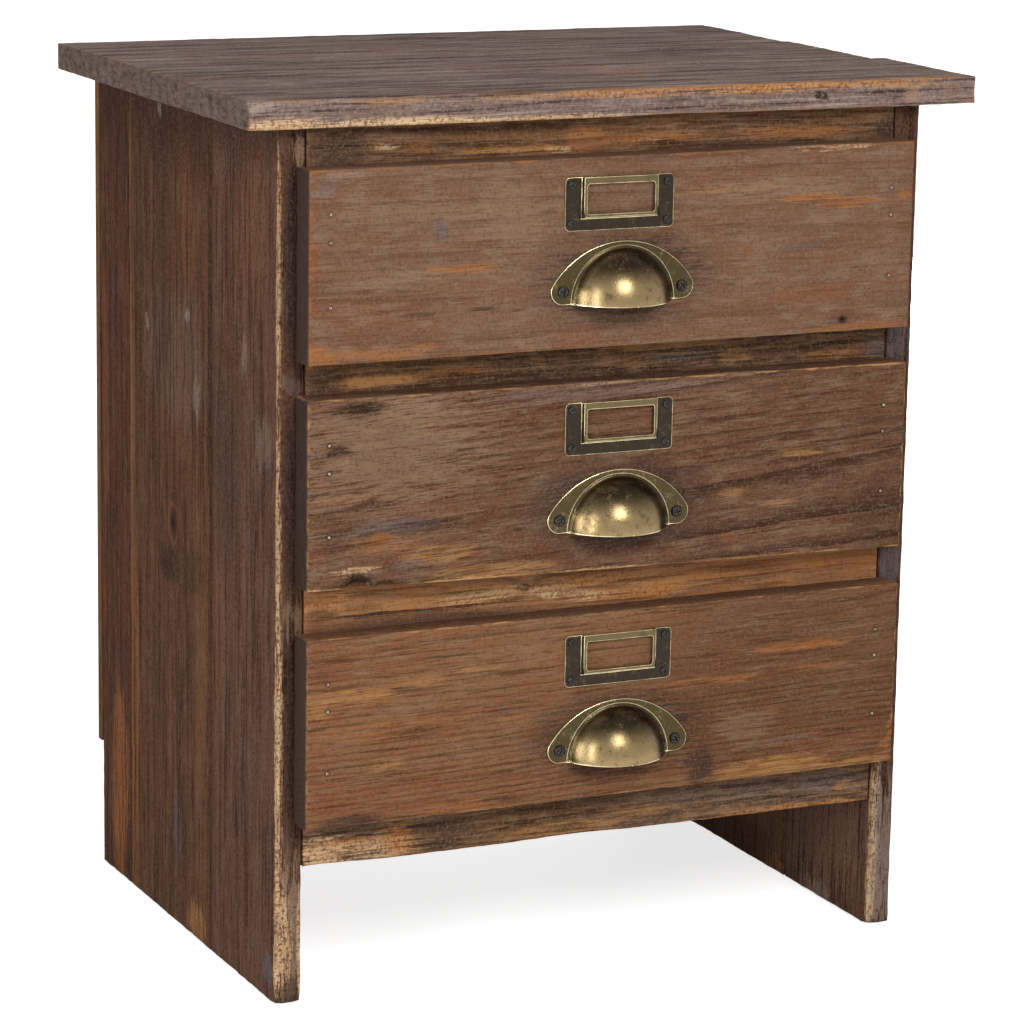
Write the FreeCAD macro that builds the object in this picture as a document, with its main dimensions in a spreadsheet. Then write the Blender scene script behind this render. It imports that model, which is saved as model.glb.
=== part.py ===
import FreeCAD, Part
import Sketcher
import math
import os

from FreeCAD import Placement, Rotation, Vector

# A rustic three-drawer nightstand in millimetres, +Z up, front towards -Y.
# Case places are measured from the left side's outer face, the sides' front edge and the floor.
doc = FreeCAD.newDocument("nightstand")
sheet = doc.addObject("Spreadsheet::Sheet", "sizes")

sizes = {
    # case
    "case_wide": 428,
    "side_thick": 18,
    "side_front_wide": 110,
    "side_middle_wide": 148,
    "side_back_wide": 55.2,
    "board_gap": 0.4,
    "panel_thick": 7,
    "edge_ease": 1.2,
    # top
    "top_thick": 18,
    "top_front_wide": 115,
    "top_middle_wide": 111,
    "over_left": 24,
    "over_front": 15,
    "over_back": 13,
    "over_right_front": 31,
    "over_right_middle": 22,
    "over_right_back": 18,
    "top_corner_round": 10,
    # rails and drawer openings, from the floor up
    "foot_high": 84,
    "bottom_rail_high": 37,
    "lower_rail_high": 41,
    "upper_rail_high": 33,
    "top_rail_high": 28,
    "open_high": 103,
    "rail_thick": 18,
    "tenon_long": 10,
    "tenon_thick": 8,
    "tenon_shoulder": 5,
    "runner_wide": 18,
    # drawer fronts: what each corner laps over its opening
    "front_thick": 20,
    "front_play": 0.3,
    "lap_left": 7,
    "lap_right": 4,
    "top_lap_foot_left": 6.6,
    "top_lap_foot_right": 6,
    "top_lap_head_left": 5.7,
    "top_lap_head_right": 8,
    "middle_lap_foot_left": 4.8,
    "middle_lap_foot_right": 9.8,
    "middle_lap_head_left": 7.2,
    "middle_lap_head_right": 6.2,
    "bottom_lap_foot_left": 7.5,
    "bottom_lap_foot_right": 5.8,
    "bottom_lap_head_left": 7.5,
    "bottom_lap_head_right": 8.7,
    # drawer boxes
    "box_play_left": 3,
    "box_play_right": 8,
    "box_lift": 0.3,
    "box_headroom": 5,
    "box_back_gap": 24,
    "box_side_thick": 9,
    "box_back_thick": 9,
    "floor_thick": 4,
    "floor_up": 8,
    "groove_deep": 4,
    "groove_play": 0.15,
    # label frame
    "label_wide": 72,
    "label_high": 32,
    "label_sheet": 0.8,
    "label_round": 3,
    "label_drop": 21.4,
    "card_wide": 50.6,
    "card_high": 25,
    "card_rise": 3.2,
    "card_rim": 2.8,
    "card_round": 1.6,
    "label_screw_in": 4.4,
    "label_screw_radius": 1.1,
    "label_screw_long": 11,
    "label_head_radius": 2.5,
    "label_head_high": 1.1,
    "top_label_off": -2,
    "middle_label_off": 1,
    "bottom_label_off": 4,
    # cup pull
    "pull_wide": 95,
    "pull_high": 37,
    "pull_sheet": 1.2,
    "lobe_radius": 8,
    "cup_wide": 67,
    "cup_reach": 22.5,
    "lip_high": 1.8,
    "lip_proud": 0.4,
    "pull_screw_radius": 1.5,
    "pull_screw_long": 16,
    "pull_head_radius": 3.6,
    "pull_head_high": 1.6,
    "top_pull_off": 1.2,
    "middle_pull_off": 1.8,
    "bottom_pull_off": 4.8,
    "top_pull_up": 21.5,
    "middle_pull_up": 18.2,
    "bottom_pull_up": 18.2,
    # brads in the drawers, nails in the case
    "hole_play": 0.1,
    "brad_wide": 1.6,
    "brad_bite": 14,
    "nail_wide": 2.2,
    "panel_nail_bite": 13,
    "strip_nail_bite": 10,
    "top_nail_in": 20,
}
for row, (alias, number) in enumerate(sizes.items(), 1):
    sheet.set(f"A{row}", alias)
    sheet.set(f"B{row}", str(number))
    sheet.setAlias(f"B{row}", alias)
doc.recompute()


# Two places or volumes closer than this are the same
tiny = 1e-6


def size(name):
    return f"sizes.{name}"


def value(expression):
    return float(sheet.evalExpression(expression))


# Sizes that follow from the driving ones
case_deep = "(sizes.side_front_wide + sizes.side_middle_wide + sizes.side_back_wide + 2 * sizes.board_gap)"
inner_wide = "(sizes.case_wide - 2 * sizes.side_thick)"
inner_right = "(sizes.case_wide - sizes.side_thick)"
bottom_open = "(sizes.foot_high + sizes.bottom_rail_high)"
lower_rail_low = f"({bottom_open} + sizes.open_high)"
middle_open = f"({lower_rail_low} + sizes.lower_rail_high)"
upper_rail_low = f"({middle_open} + sizes.open_high)"
top_open = f"({upper_rail_low} + sizes.upper_rail_high)"
top_rail_low = f"({top_open} + sizes.open_high)"
case_high = f"({top_rail_low} + sizes.top_rail_high)"

side_joint_front = "sizes.side_front_wide"
side_middle_start = f"({side_joint_front} + sizes.board_gap)"
side_joint_back = f"({side_middle_start} + sizes.side_middle_wide)"
side_back_start = f"({side_joint_back} + sizes.board_gap)"

top_joint_front = "(sizes.top_front_wide - sizes.over_front)"
top_middle_start = f"({top_joint_front} + sizes.board_gap)"
top_joint_back = f"({top_middle_start} + sizes.top_middle_wide)"
top_back_start = f"({top_joint_back} + sizes.board_gap)"
top_end = f"({case_deep} + sizes.over_back)"

face_y = "(-sizes.front_play - sizes.front_thick)"
box_left = "(sizes.side_thick + sizes.box_play_left)"
box_right = f"({inner_right} - sizes.box_play_right)"
box_wide = f"({box_right} - {box_left})"
box_inner_left = f"({box_left} + sizes.box_side_thick)"
box_inner_right = f"({box_right} - sizes.box_side_thick)"
box_deep = f"({case_deep} - sizes.box_back_gap + sizes.front_play)"
box_high = "(sizes.open_high - sizes.box_lift - sizes.box_headroom)"
box_end = f"({box_deep} - sizes.front_play)"
front_middle = f"((sizes.side_thick - sizes.lap_left + {inner_right} + sizes.lap_right) / 2)"

# The origin is at the middle of the whole part's outline, on the floor
middle_x = "((sizes.case_wide + sizes.over_right_front - sizes.over_left) / 2)"
middle_y = f"(({top_end} + {face_y} - sizes.cup_reach - sizes.lip_proud) / 2)"
origin = (middle_x, middle_y, "0")


def put(thing, x, y, z):
    for axis, place, middle in zip("xyz", (x, y, z), origin):
        thing.setExpression(f"Placement.Base.{axis}", f"{place} - {middle}")


class Piece:
    """A body whose sketches are measured from its lower left front corner (x, y, z) in the case."""

    def __init__(self, label, x, y, z):
        self.body = doc.addObject("PartDesign::Body", label)
        self.body.Label = label
        self.corner = {"x": x, "y": y, "z": z}
        put(self.body, x, y, z)

    def local(self, axis, place):
        return f"({place}) - ({self.corner[axis]})"

    def sketch(self, plane, name, lift=None):
        drawing = self.body.newObject("Sketcher::SketchObject", f"{self.body.Label}_{name}")
        support = next(f for f in self.body.Origin.OriginFeatures if f.Role == plane)
        drawing.AttachmentSupport = [(support, "")]
        drawing.MapMode = "FlatFace"
        if lift:
            drawing.setExpression("AttachmentOffset.Base.z", lift)
        return drawing

    def pad(self, drawing, length):
        feature = self.body.newObject("PartDesign::Pad", drawing.Label + "_pad")
        feature.Profile = drawing
        feature.setExpression("Length", length)
        return self.finish(feature, 1)

    def pocket(self, drawing, depth, towards_normal=False):
        feature = self.body.newObject("PartDesign::Pocket", drawing.Label + "_pocket")
        feature.Profile = drawing
        feature.setExpression("Length", depth)
        feature.Reversed = towards_normal
        return self.finish(feature, -1)

    def fillet(self, name, radius, chosen, sign=-1):
        return self.dress("Fillet", name, "Radius", radius, chosen, sign)

    def chamfer(self, name, width, chosen):
        return self.dress("Chamfer", name, "Size", width, chosen, -1)

    def dress(self, kind, name, bound, number, chosen, sign):
        base = self.body.Tip
        edges = [f"Edge{i}" for i, edge in enumerate(base.Shape.Edges, 1) if chosen(edge.BoundBox)]
        feature = self.body.newObject(f"PartDesign::{kind}", f"{self.body.Label}_{name}")
        feature.Base = (base, edges)
        feature.setExpression(bound, number)
        return self.finish(feature, sign)

    def finish(self, feature, sign):
        before = self.body.Shape.Volume if not self.body.Shape.isNull() else 0
        self.body.Tip = feature
        doc.recompute([feature, self.body])
        change = self.body.Shape.Volume - before
        if sign * change < tiny:
            raise RuntimeError(f"{feature.Label} changes the volume by {change:.3f}")
        return feature


def fix(drawing, geometry, point, axis, place):
    """Hold a sketch point at a place along X or Y from the sketch's origin."""
    number = value(place)
    if abs(number) < tiny:
        across = -2 if axis == "X" else -1
        drawing.addConstraint(Sketcher.Constraint("PointOnObject", geometry, point, across))
        return
    ends = (-1, 1, geometry, point) if number > 0 else (geometry, point, -1, 1)
    index = drawing.addConstraint(Sketcher.Constraint("Distance" + axis, *ends, abs(number)))
    drawing.setExpression(f"Constraints[{index}]", place if number > 0 else f"-({place})")


def outline(drawing, corners):
    """Closed outline of straight lines; corners are pairs of expressions."""
    points = [Vector(value(u), value(v), 0) for u, v in corners]
    count = len(points)
    segments = [Part.LineSegment(points[i], points[(i + 1) % count]) for i in range(count)]
    lines = [drawing.addGeometry(segment, False) for segment in segments]
    for i, line in enumerate(lines):
        drawing.addConstraint(Sketcher.Constraint("Coincident", line, 2, lines[(i + 1) % count], 1))
        fix(drawing, line, 1, "X", corners[i][0])
        fix(drawing, line, 1, "Y", corners[i][1])


def rectangle(drawing, u, v, wide, high):
    """Rectangle with its lower left corner at (u, v)."""
    right = f"({u}) + ({wide})"
    top = f"({v}) + ({high})"
    outline(drawing, [(u, v), (right, v), (right, top), (u, top)])


# Screws are many-sided, to keep their faces few
shank_sides = 6
head_sides = 16


def shank_hole(drawing, u, v, radius):
    """Many-sided hole around (u, v), with its first corner to the right as on a screw's shank."""
    corners = []
    for i in range(shank_sides):
        turn = 2 * math.pi * i / shank_sides
        across, up = math.cos(turn), math.sin(turn)
        corners.append((f"({u}) + {across:.9f} * ({radius})", f"({v}) + {up:.9f} * ({radius})"))
    outline(drawing, corners)


def square(drawing, u, v, side):
    """Square nail hole around (u, v)."""
    wide = f"({side} + 2 * sizes.hole_play)"
    rectangle(drawing, f"({u}) - {wide} / 2", f"({v}) - {wide} / 2", wide, wide)


def is_upright(box):
    return box.XLength < tiny and box.YLength < tiny


def is_level(box):
    """Edges that run from front to back."""
    return box.XLength < tiny and box.ZLength < tiny


# Fasteners are plain solids of their own, with few faces because there are many of them
turns = {
    "up": Rotation(),
    "back": Rotation(Vector(1, 0, 0), -90),
    "front": Rotation(Vector(1, 0, 0), 90),
}


def solid(kind, name, place, way, **bound):
    thing = doc.addObject(f"Part::{kind}", name)
    for key, expression in bound.items():
        thing.setExpression(key, expression)
    thing.Placement = Placement(Vector(), turns[way])
    put(thing, *place)
    return thing


def nail(name, place, **spans):
    """Square nail whose lower left front corner is at place, with one span longer than its width."""
    return solid("Box", name, place, "up", **spans)


def screw(name, place, radius, long, head_radius, head_high):
    """Screw driven backwards, with its head's underside at place; head and shank are many-sided."""
    x, y, z = place
    shank = solid("Prism", name + "_shank", place, "back", Circumradius=radius, Height=long)
    shank.Polygon = shank_sides
    head = solid("Prism", name + "_head", (x, f"({y}) - ({head_high})", z), "back",
                 Circumradius=head_radius, Height=head_high)
    head.Polygon = head_sides
    whole = doc.addObject("Part::MultiFuse", name)
    whole.Shapes = [head, shank]
    return whole


def group(label, members):
    compound = doc.addObject("Part::Compound", label)
    compound.Label = label
    compound.Links = members
    return compound


nodes = []

# Places shared by holes and fasteners
strips = {
    "bottom_runner": (size("foot_high"), size("bottom_rail_high")),
    "lower_runner": (lower_rail_low, size("lower_rail_high")),
    "upper_runner": (upper_rail_low, size("upper_rail_high")),
    "top_cleat": (top_rail_low, size("top_rail_high")),
}
rails = {
    "bottom_rail": strips["bottom_runner"],
    "lower_rail": strips["lower_runner"],
    "upper_rail": strips["upper_runner"],
    "top_rail": strips["top_cleat"],
}
# Each plank's start, width and nail line
side_boards = {
    "front": ("0", "sizes.side_front_wide", f"((sizes.rail_thick + {side_joint_front}) / 2)"),
    "middle": (side_middle_start, "sizes.side_middle_wide",
               f"(({side_middle_start} + {side_joint_back}) / 2)"),
    "back": (side_back_start, "sizes.side_back_wide", f"(({side_back_start} + {case_deep}) / 2)"),
}
top_boards = {
    "front": ("(-sizes.over_front)", "sizes.top_front_wide", "sizes.over_right_front",
              "(sizes.rail_thick + sizes.top_nail_in)"),
    "middle": (top_middle_start, "sizes.top_middle_wide", "sizes.over_right_middle",
               f"(({top_middle_start} + {top_joint_back}) / 2)"),
    "back": (top_back_start, f"({top_end} - {top_back_start})", "sizes.over_right_back",
             f"(({top_back_start} + {case_deep}) / 2)"),
}
cleat_x = {
    "left": "(sizes.side_thick + sizes.runner_wide / 2)",
    "right": f"({inner_right} - sizes.runner_wide / 2)",
}
nail_count = 5
nail_step = f"(({case_high} - sizes.foot_high) / {nail_count})"
nail_heights = [f"(sizes.foot_high + {i + 0.5} * {nail_step})" for i in range(nail_count)]
nail_x = {"left": "(sizes.side_thick / 2)", "right": "(sizes.case_wide - sizes.side_thick / 2)"}
tenon_y = "((sizes.rail_thick - sizes.tenon_thick) / 2)"


# Top: three planks side by side, with the grain along the width
for name, (start, wide, over_right, nail_y) in top_boards.items():
    board = Piece(f"top_{name}_board", "(-sizes.over_left)", start, case_high)
    long = f"(sizes.over_left + sizes.case_wide + {over_right})"
    plan = board.sketch("XY_Plane", "plan")
    rectangle(plan, "0", "0", long, wide)
    board.pad(plan, size("top_thick"))
    if name == "front":
        end = value(long)
        half_round = value("sizes.top_corner_round / 2")
        board.fillet("corner", size("top_corner_round"),
                     lambda b: is_upright(b) and b.XMin > end - tiny and b.YMin < tiny)
        board.chamfer("nose", size("edge_ease"), lambda b: b.ZLength < tiny and b.YMin < half_round)
    holes = board.sketch("XY_Plane", "nail_holes")
    for x in cleat_x.values():
        square(holes, board.local("x", x), board.local("y", nail_y), size("nail_wide"))
    board.pocket(holes, "(sizes.strip_nail_bite + sizes.hole_play)", True)
    nodes.append(board.body)

# Sides: three upright planks each, down to the floor
for hand in ("left", "right"):
    outer = "0" if hand == "left" else inner_right
    inside_lift = size("side_thick") if hand == "left" else None
    inside_reverse = hand == "right"
    for name, (start, wide, nail_y) in side_boards.items():
        board = Piece(f"{hand}_side_{name}_board", outer, start, "0")
        plan = board.sketch("XY_Plane", "plan")
        rectangle(plan, "0", "0", size("side_thick"), wide)
        board.pad(plan, case_high)
        if name == "front":
            board.chamfer("front_edges", size("edge_ease"),
                          lambda b: b.XLength < tiny and b.YMax < tiny)
        holes = board.sketch("YZ_Plane", "strip_nail_holes", inside_lift)
        for low, high in strips.values():
            square(holes, board.local("y", nail_y), f"{low} + {high} / 2", size("nail_wide"))
        board.pocket(holes, "(sizes.strip_nail_bite + sizes.hole_play)", inside_reverse)
        if name == "front":
            mortises = board.sketch("YZ_Plane", "mortises", inside_lift)
            for low, high in rails.values():
                rectangle(mortises, f"{tenon_y} - sizes.hole_play",
                          f"{low} + sizes.tenon_shoulder - sizes.hole_play",
                          "(sizes.tenon_thick + 2 * sizes.hole_play)",
                          f"({high} - 2 * sizes.tenon_shoulder + 2 * sizes.hole_play)")
            board.pocket(mortises, "(sizes.tenon_long + sizes.hole_play)", inside_reverse)
        if name == "back":
            holes = board.sketch("XZ_Plane", "panel_nail_holes", f"-({wide})")
            for height in nail_heights:
                square(holes, board.local("x", nail_x[hand]), height, size("nail_wide"))
            board.pocket(holes, "(sizes.panel_nail_bite + sizes.hole_play)", True)
        nodes.append(board.body)

# Back panel: one thin sheet nailed on behind the sides, clear of the floor
panel = Piece("back_panel", "0", f"({case_deep} + sizes.panel_thick)", size("foot_high"))
face = panel.sketch("XZ_Plane", "face")
rectangle(face, "0", "0", size("case_wide"), f"({case_high} - sizes.foot_high)")
panel.pad(face, size("panel_thick"))
holes = panel.sketch("XZ_Plane", "nail_holes")
for x in nail_x.values():
    for height in nail_heights:
        square(holes, x, panel.local("z", height), size("nail_wide"))
panel.pocket(holes, size("panel_thick"), True)
nodes.append(panel.body)

# Rails between the sides, flush with their front edges and tenoned into them
for name, (low, high) in rails.items():
    rail = Piece(name, size("side_thick"), size("rail_thick"), low)
    face = rail.sketch("XZ_Plane", "face")
    rectangle(face, "0", "0", inner_wide, high)
    rail.pad(face, size("rail_thick"))
    tenons = rail.sketch("XZ_Plane", "tenons", tenon_y)
    rectangle(tenons, "-sizes.tenon_long", "sizes.tenon_shoulder",
              f"({inner_wide} + 2 * sizes.tenon_long)", f"({high} - 2 * sizes.tenon_shoulder)")
    rail.pad(tenons, size("tenon_thick"))
    nodes.append(rail.body)

# Runners under the drawers and cleats under the top, nailed across the side planks from inside
for name, (low, high) in strips.items():
    for hand in ("left", "right"):
        corner = size("side_thick") if hand == "left" else f"({inner_right} - sizes.runner_wide)"
        strip = Piece(f"{hand}_{name}", corner, case_deep, low)
        end = strip.sketch("XZ_Plane", "end")
        rectangle(end, "0", "0", size("runner_wide"), high)
        strip.pad(end, f"({case_deep} - sizes.rail_thick)")
        holes = strip.sketch("YZ_Plane", "nail_holes")
        for start, wide, nail_y in side_boards.values():
            square(holes, strip.local("y", nail_y), f"{high} / 2", size("nail_wide"))
        strip.pocket(holes, size("runner_wide"), True)
        if name == "top_cleat":
            holes = strip.sketch("XY_Plane", "top_nail_holes")
            for start, wide, over_right, nail_y in top_boards.values():
                square(holes, "(sizes.runner_wide / 2)", strip.local("y", nail_y), size("nail_wide"))
            strip.pocket(holes, high, True)
        nodes.append(strip.body)

# Places shared by the drawers' pieces
brad_x = {
    "left": f"({box_left} + sizes.box_side_thick / 2)",
    "right": f"({box_right} - sizes.box_side_thick / 2)",
}
brad_shares = (0.28, 0.67, 0.84)
back_brad_shares = (0.3, 0.7)
back_brad_y = f"({box_end} - sizes.box_back_thick / 2)"
label_hole = "(sizes.label_screw_radius + sizes.hole_play)"
hollow_shares = (0, 0.55, 0.94)


def lobe_x(side, off):
    return f"({front_middle} + {off} + {side} * (sizes.pull_wide / 2 - sizes.lobe_radius))"


def label_screws_at(off, base):
    for side_x in (-1, 1):
        for side_z in (-1, 1):
            x = f"({front_middle} + {off} + {side_x} * (sizes.label_wide / 2 - sizes.label_screw_in))"
            up = f"({side_z} * (sizes.label_high / 2 - sizes.label_screw_in))"
            yield x, f"({base} + sizes.open_high - sizes.label_drop + {up})"


def drawer_front(name, base):
    front = Piece(f"{name}_drawer_front", size("side_thick"), "(-sizes.front_play)", base)
    lap = f"sizes.{name}_lap"
    left = "-sizes.lap_left"
    right = f"({inner_wide} + sizes.lap_right)"
    face = front.sketch("XZ_Plane", "face")
    outline(face, [(left, f"-{lap}_foot_left"),
                   (right, f"-{lap}_foot_right"),
                   (right, f"sizes.open_high + {lap}_head_right"),
                   (left, f"sizes.open_high + {lap}_head_left")])
    front.pad(face, size("front_thick"))
    front_y = -value("sizes.front_thick")
    front.chamfer("eased_edges", size("edge_ease"), lambda b: b.YMax < front_y + tiny)

    groove = front.sketch("XZ_Plane", "floor_groove")
    rectangle(groove, front.local("x", f"{box_inner_left} - sizes.groove_deep"),
              "(sizes.box_lift + sizes.floor_up)",
              f"({box_inner_right} - {box_inner_left} + 2 * sizes.groove_deep)",
              "(sizes.floor_thick + sizes.groove_play)")
    front.pocket(groove, size("groove_deep"), True)

    holes = front.sketch("XZ_Plane", "pull_screw_holes", size("front_thick"))
    for side in (-1, 1):
        shank_hole(holes, front.local("x", lobe_x(side, f"sizes.{name}_pull_off")),
                f"(sizes.{name}_pull_up + sizes.lobe_radius)", "(sizes.pull_screw_radius + sizes.hole_play)")
    front.pocket(holes, "(sizes.pull_screw_long - sizes.pull_sheet + sizes.hole_play)")

    holes = front.sketch("XZ_Plane", "label_screw_holes", size("front_thick"))
    for x, z in label_screws_at(f"sizes.{name}_label_off", base):
        shank_hole(holes, front.local("x", x), front.local("z", z), label_hole)
    front.pocket(holes, "(sizes.label_screw_long - sizes.label_sheet + sizes.hole_play)")

    holes = front.sketch("XZ_Plane", "brad_holes", size("front_thick"))
    for x in brad_x.values():
        for share in brad_shares:
            height = f"(sizes.box_lift + {share} * {box_high})"
            square(holes, front.local("x", x), height, size("brad_wide"))
    front.pocket(holes, size("front_thick"))
    nodes.append(front.body)


def drawer_side(name, hand, base):
    corner = box_left if hand == "left" else f"({box_right} - sizes.box_side_thick)"
    inner = size("box_side_thick") if hand == "left" else None
    low = f"({base} + sizes.box_lift)"
    side = Piece(f"{name}_drawer_{hand}_side", corner, "(-sizes.front_play)", low)
    face = side.sketch("YZ_Plane", "face")
    rectangle(face, "0", "0", box_deep, box_high)
    side.pad(face, size("box_side_thick"))

    groove = side.sketch("YZ_Plane", "floor_groove", inner)
    rectangle(groove, "0", size("floor_up"), box_deep, "(sizes.floor_thick + sizes.groove_play)")
    side.pocket(groove, size("groove_deep"), hand == "right")

    holes = side.sketch("XZ_Plane", "brad_holes")
    for share in brad_shares:
        square(holes, side.local("x", brad_x[hand]), f"({share} * {box_high})", size("brad_wide"))
    side.pocket(holes, "(sizes.brad_bite + sizes.hole_play)")

    holes = side.sketch("YZ_Plane", "back_brad_holes", inner)
    for share in back_brad_shares:
        square(holes, side.local("y", back_brad_y), f"({share} * {box_high})", size("brad_wide"))
    side.pocket(holes, size("box_side_thick"), hand == "right")
    nodes.append(side.body)


def drawer_back(name, base):
    low = f"({base} + sizes.box_lift + sizes.floor_up + sizes.floor_thick)"
    back = Piece(f"{name}_drawer_back", box_inner_left, box_end, low)
    wide = f"({box_inner_right} - {box_inner_left})"
    face = back.sketch("XZ_Plane", "face")
    rectangle(face, "0", "0", wide, f"({box_high} - sizes.floor_up - sizes.floor_thick)")
    back.pad(face, size("box_back_thick"))
    for hand, lift, reverse in (("left", None, True), ("right", wide, False)):
        holes = back.sketch("YZ_Plane", f"{hand}_brad_holes", lift)
        for share in back_brad_shares:
            height = back.local("z", f"{base} + sizes.box_lift + {share} * {box_high}")
            square(holes, back.local("y", back_brad_y), height, size("brad_wide"))
        back.pocket(holes, "(sizes.brad_bite + sizes.hole_play)", reverse)
    nodes.append(back.body)


def drawer_floor(name, base):
    let_in = "(sizes.groove_deep - sizes.groove_play)"
    floor = Piece(f"{name}_drawer_floor", f"({box_inner_left} - {let_in})",
                  f"(-sizes.front_play - {let_in})", f"({base} + sizes.box_lift + sizes.floor_up)")
    wide = f"({box_inner_right} - {box_inner_left} + 2 * {let_in})"
    plan = floor.sketch("XY_Plane", "plan")
    rectangle(plan, "0", "0", wide, f"({box_deep} + {let_in})")
    floor.pad(plan, size("floor_thick"))
    nodes.append(floor.body)


def label_frame(name, base):
    """Pressed plate with a raised card frame, open at the top for the card and windowed in front."""
    left = f"({front_middle} + sizes.{name}_label_off - sizes.label_wide / 2)"
    low = f"({base} + sizes.open_high - sizes.label_drop - sizes.label_high / 2)"
    plate = Piece(f"{name}_drawer_label_frame", left, face_y, low)
    face = plate.sketch("XZ_Plane", "plate")
    rectangle(face, "0", "0", size("label_wide"), size("label_high"))
    plate.pad(face, size("label_sheet"))
    plate.fillet("corners", size("label_round"), is_level)

    card_x = "((sizes.label_wide - sizes.card_wide) / 2)"
    card_z = "(sizes.label_high - sizes.card_high)"
    raised = plate.sketch("XZ_Plane", "card_frame")
    rectangle(raised, card_x, card_z, size("card_wide"), size("card_high"))
    plate.pad(raised, size("card_rise"))
    front_y = -value("sizes.card_rise")
    plate.chamfer("bevel", "(0.8 * sizes.label_sheet)", lambda b: b.YMax < front_y + tiny)

    slot = plate.sketch("XZ_Plane", "card_slot")
    rectangle(slot, f"{card_x} + sizes.label_sheet", f"{card_z} + sizes.label_sheet",
              "(sizes.card_wide - 2 * sizes.label_sheet)", "(sizes.card_high - sizes.label_sheet)")
    plate.pocket(slot, "(sizes.card_rise - sizes.label_sheet)", True)

    window = plate.sketch("XZ_Plane", "window")
    rectangle(window, f"{card_x} + sizes.card_rim", f"{card_z} + sizes.card_rim",
              "(sizes.card_wide - 2 * sizes.card_rim)", "(sizes.card_high - 2 * sizes.card_rim)")
    plate.pocket(window, size("card_rise"), True)
    slot_y = -value("sizes.card_rise - sizes.label_sheet")
    window_left = value(f"{card_x} + sizes.card_rim")
    window_right = value(f"{card_x} + sizes.card_wide - sizes.card_rim")

    def is_window_corner(box):
        in_window = window_left - tiny < box.XMin and box.XMax < window_right + tiny
        return is_level(box) and in_window and box.YMax < slot_y + tiny

    plate.fillet("window_corners", size("card_round"), is_window_corner, 1)

    holes = plate.sketch("XZ_Plane", "screw_holes")
    for x, z in label_screws_at(f"sizes.{name}_label_off", base):
        shank_hole(holes, plate.local("x", x), plate.local("z", z), label_hole)
    plate.pocket(holes, size("label_sheet"), True)
    nodes.append(plate.body)


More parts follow.
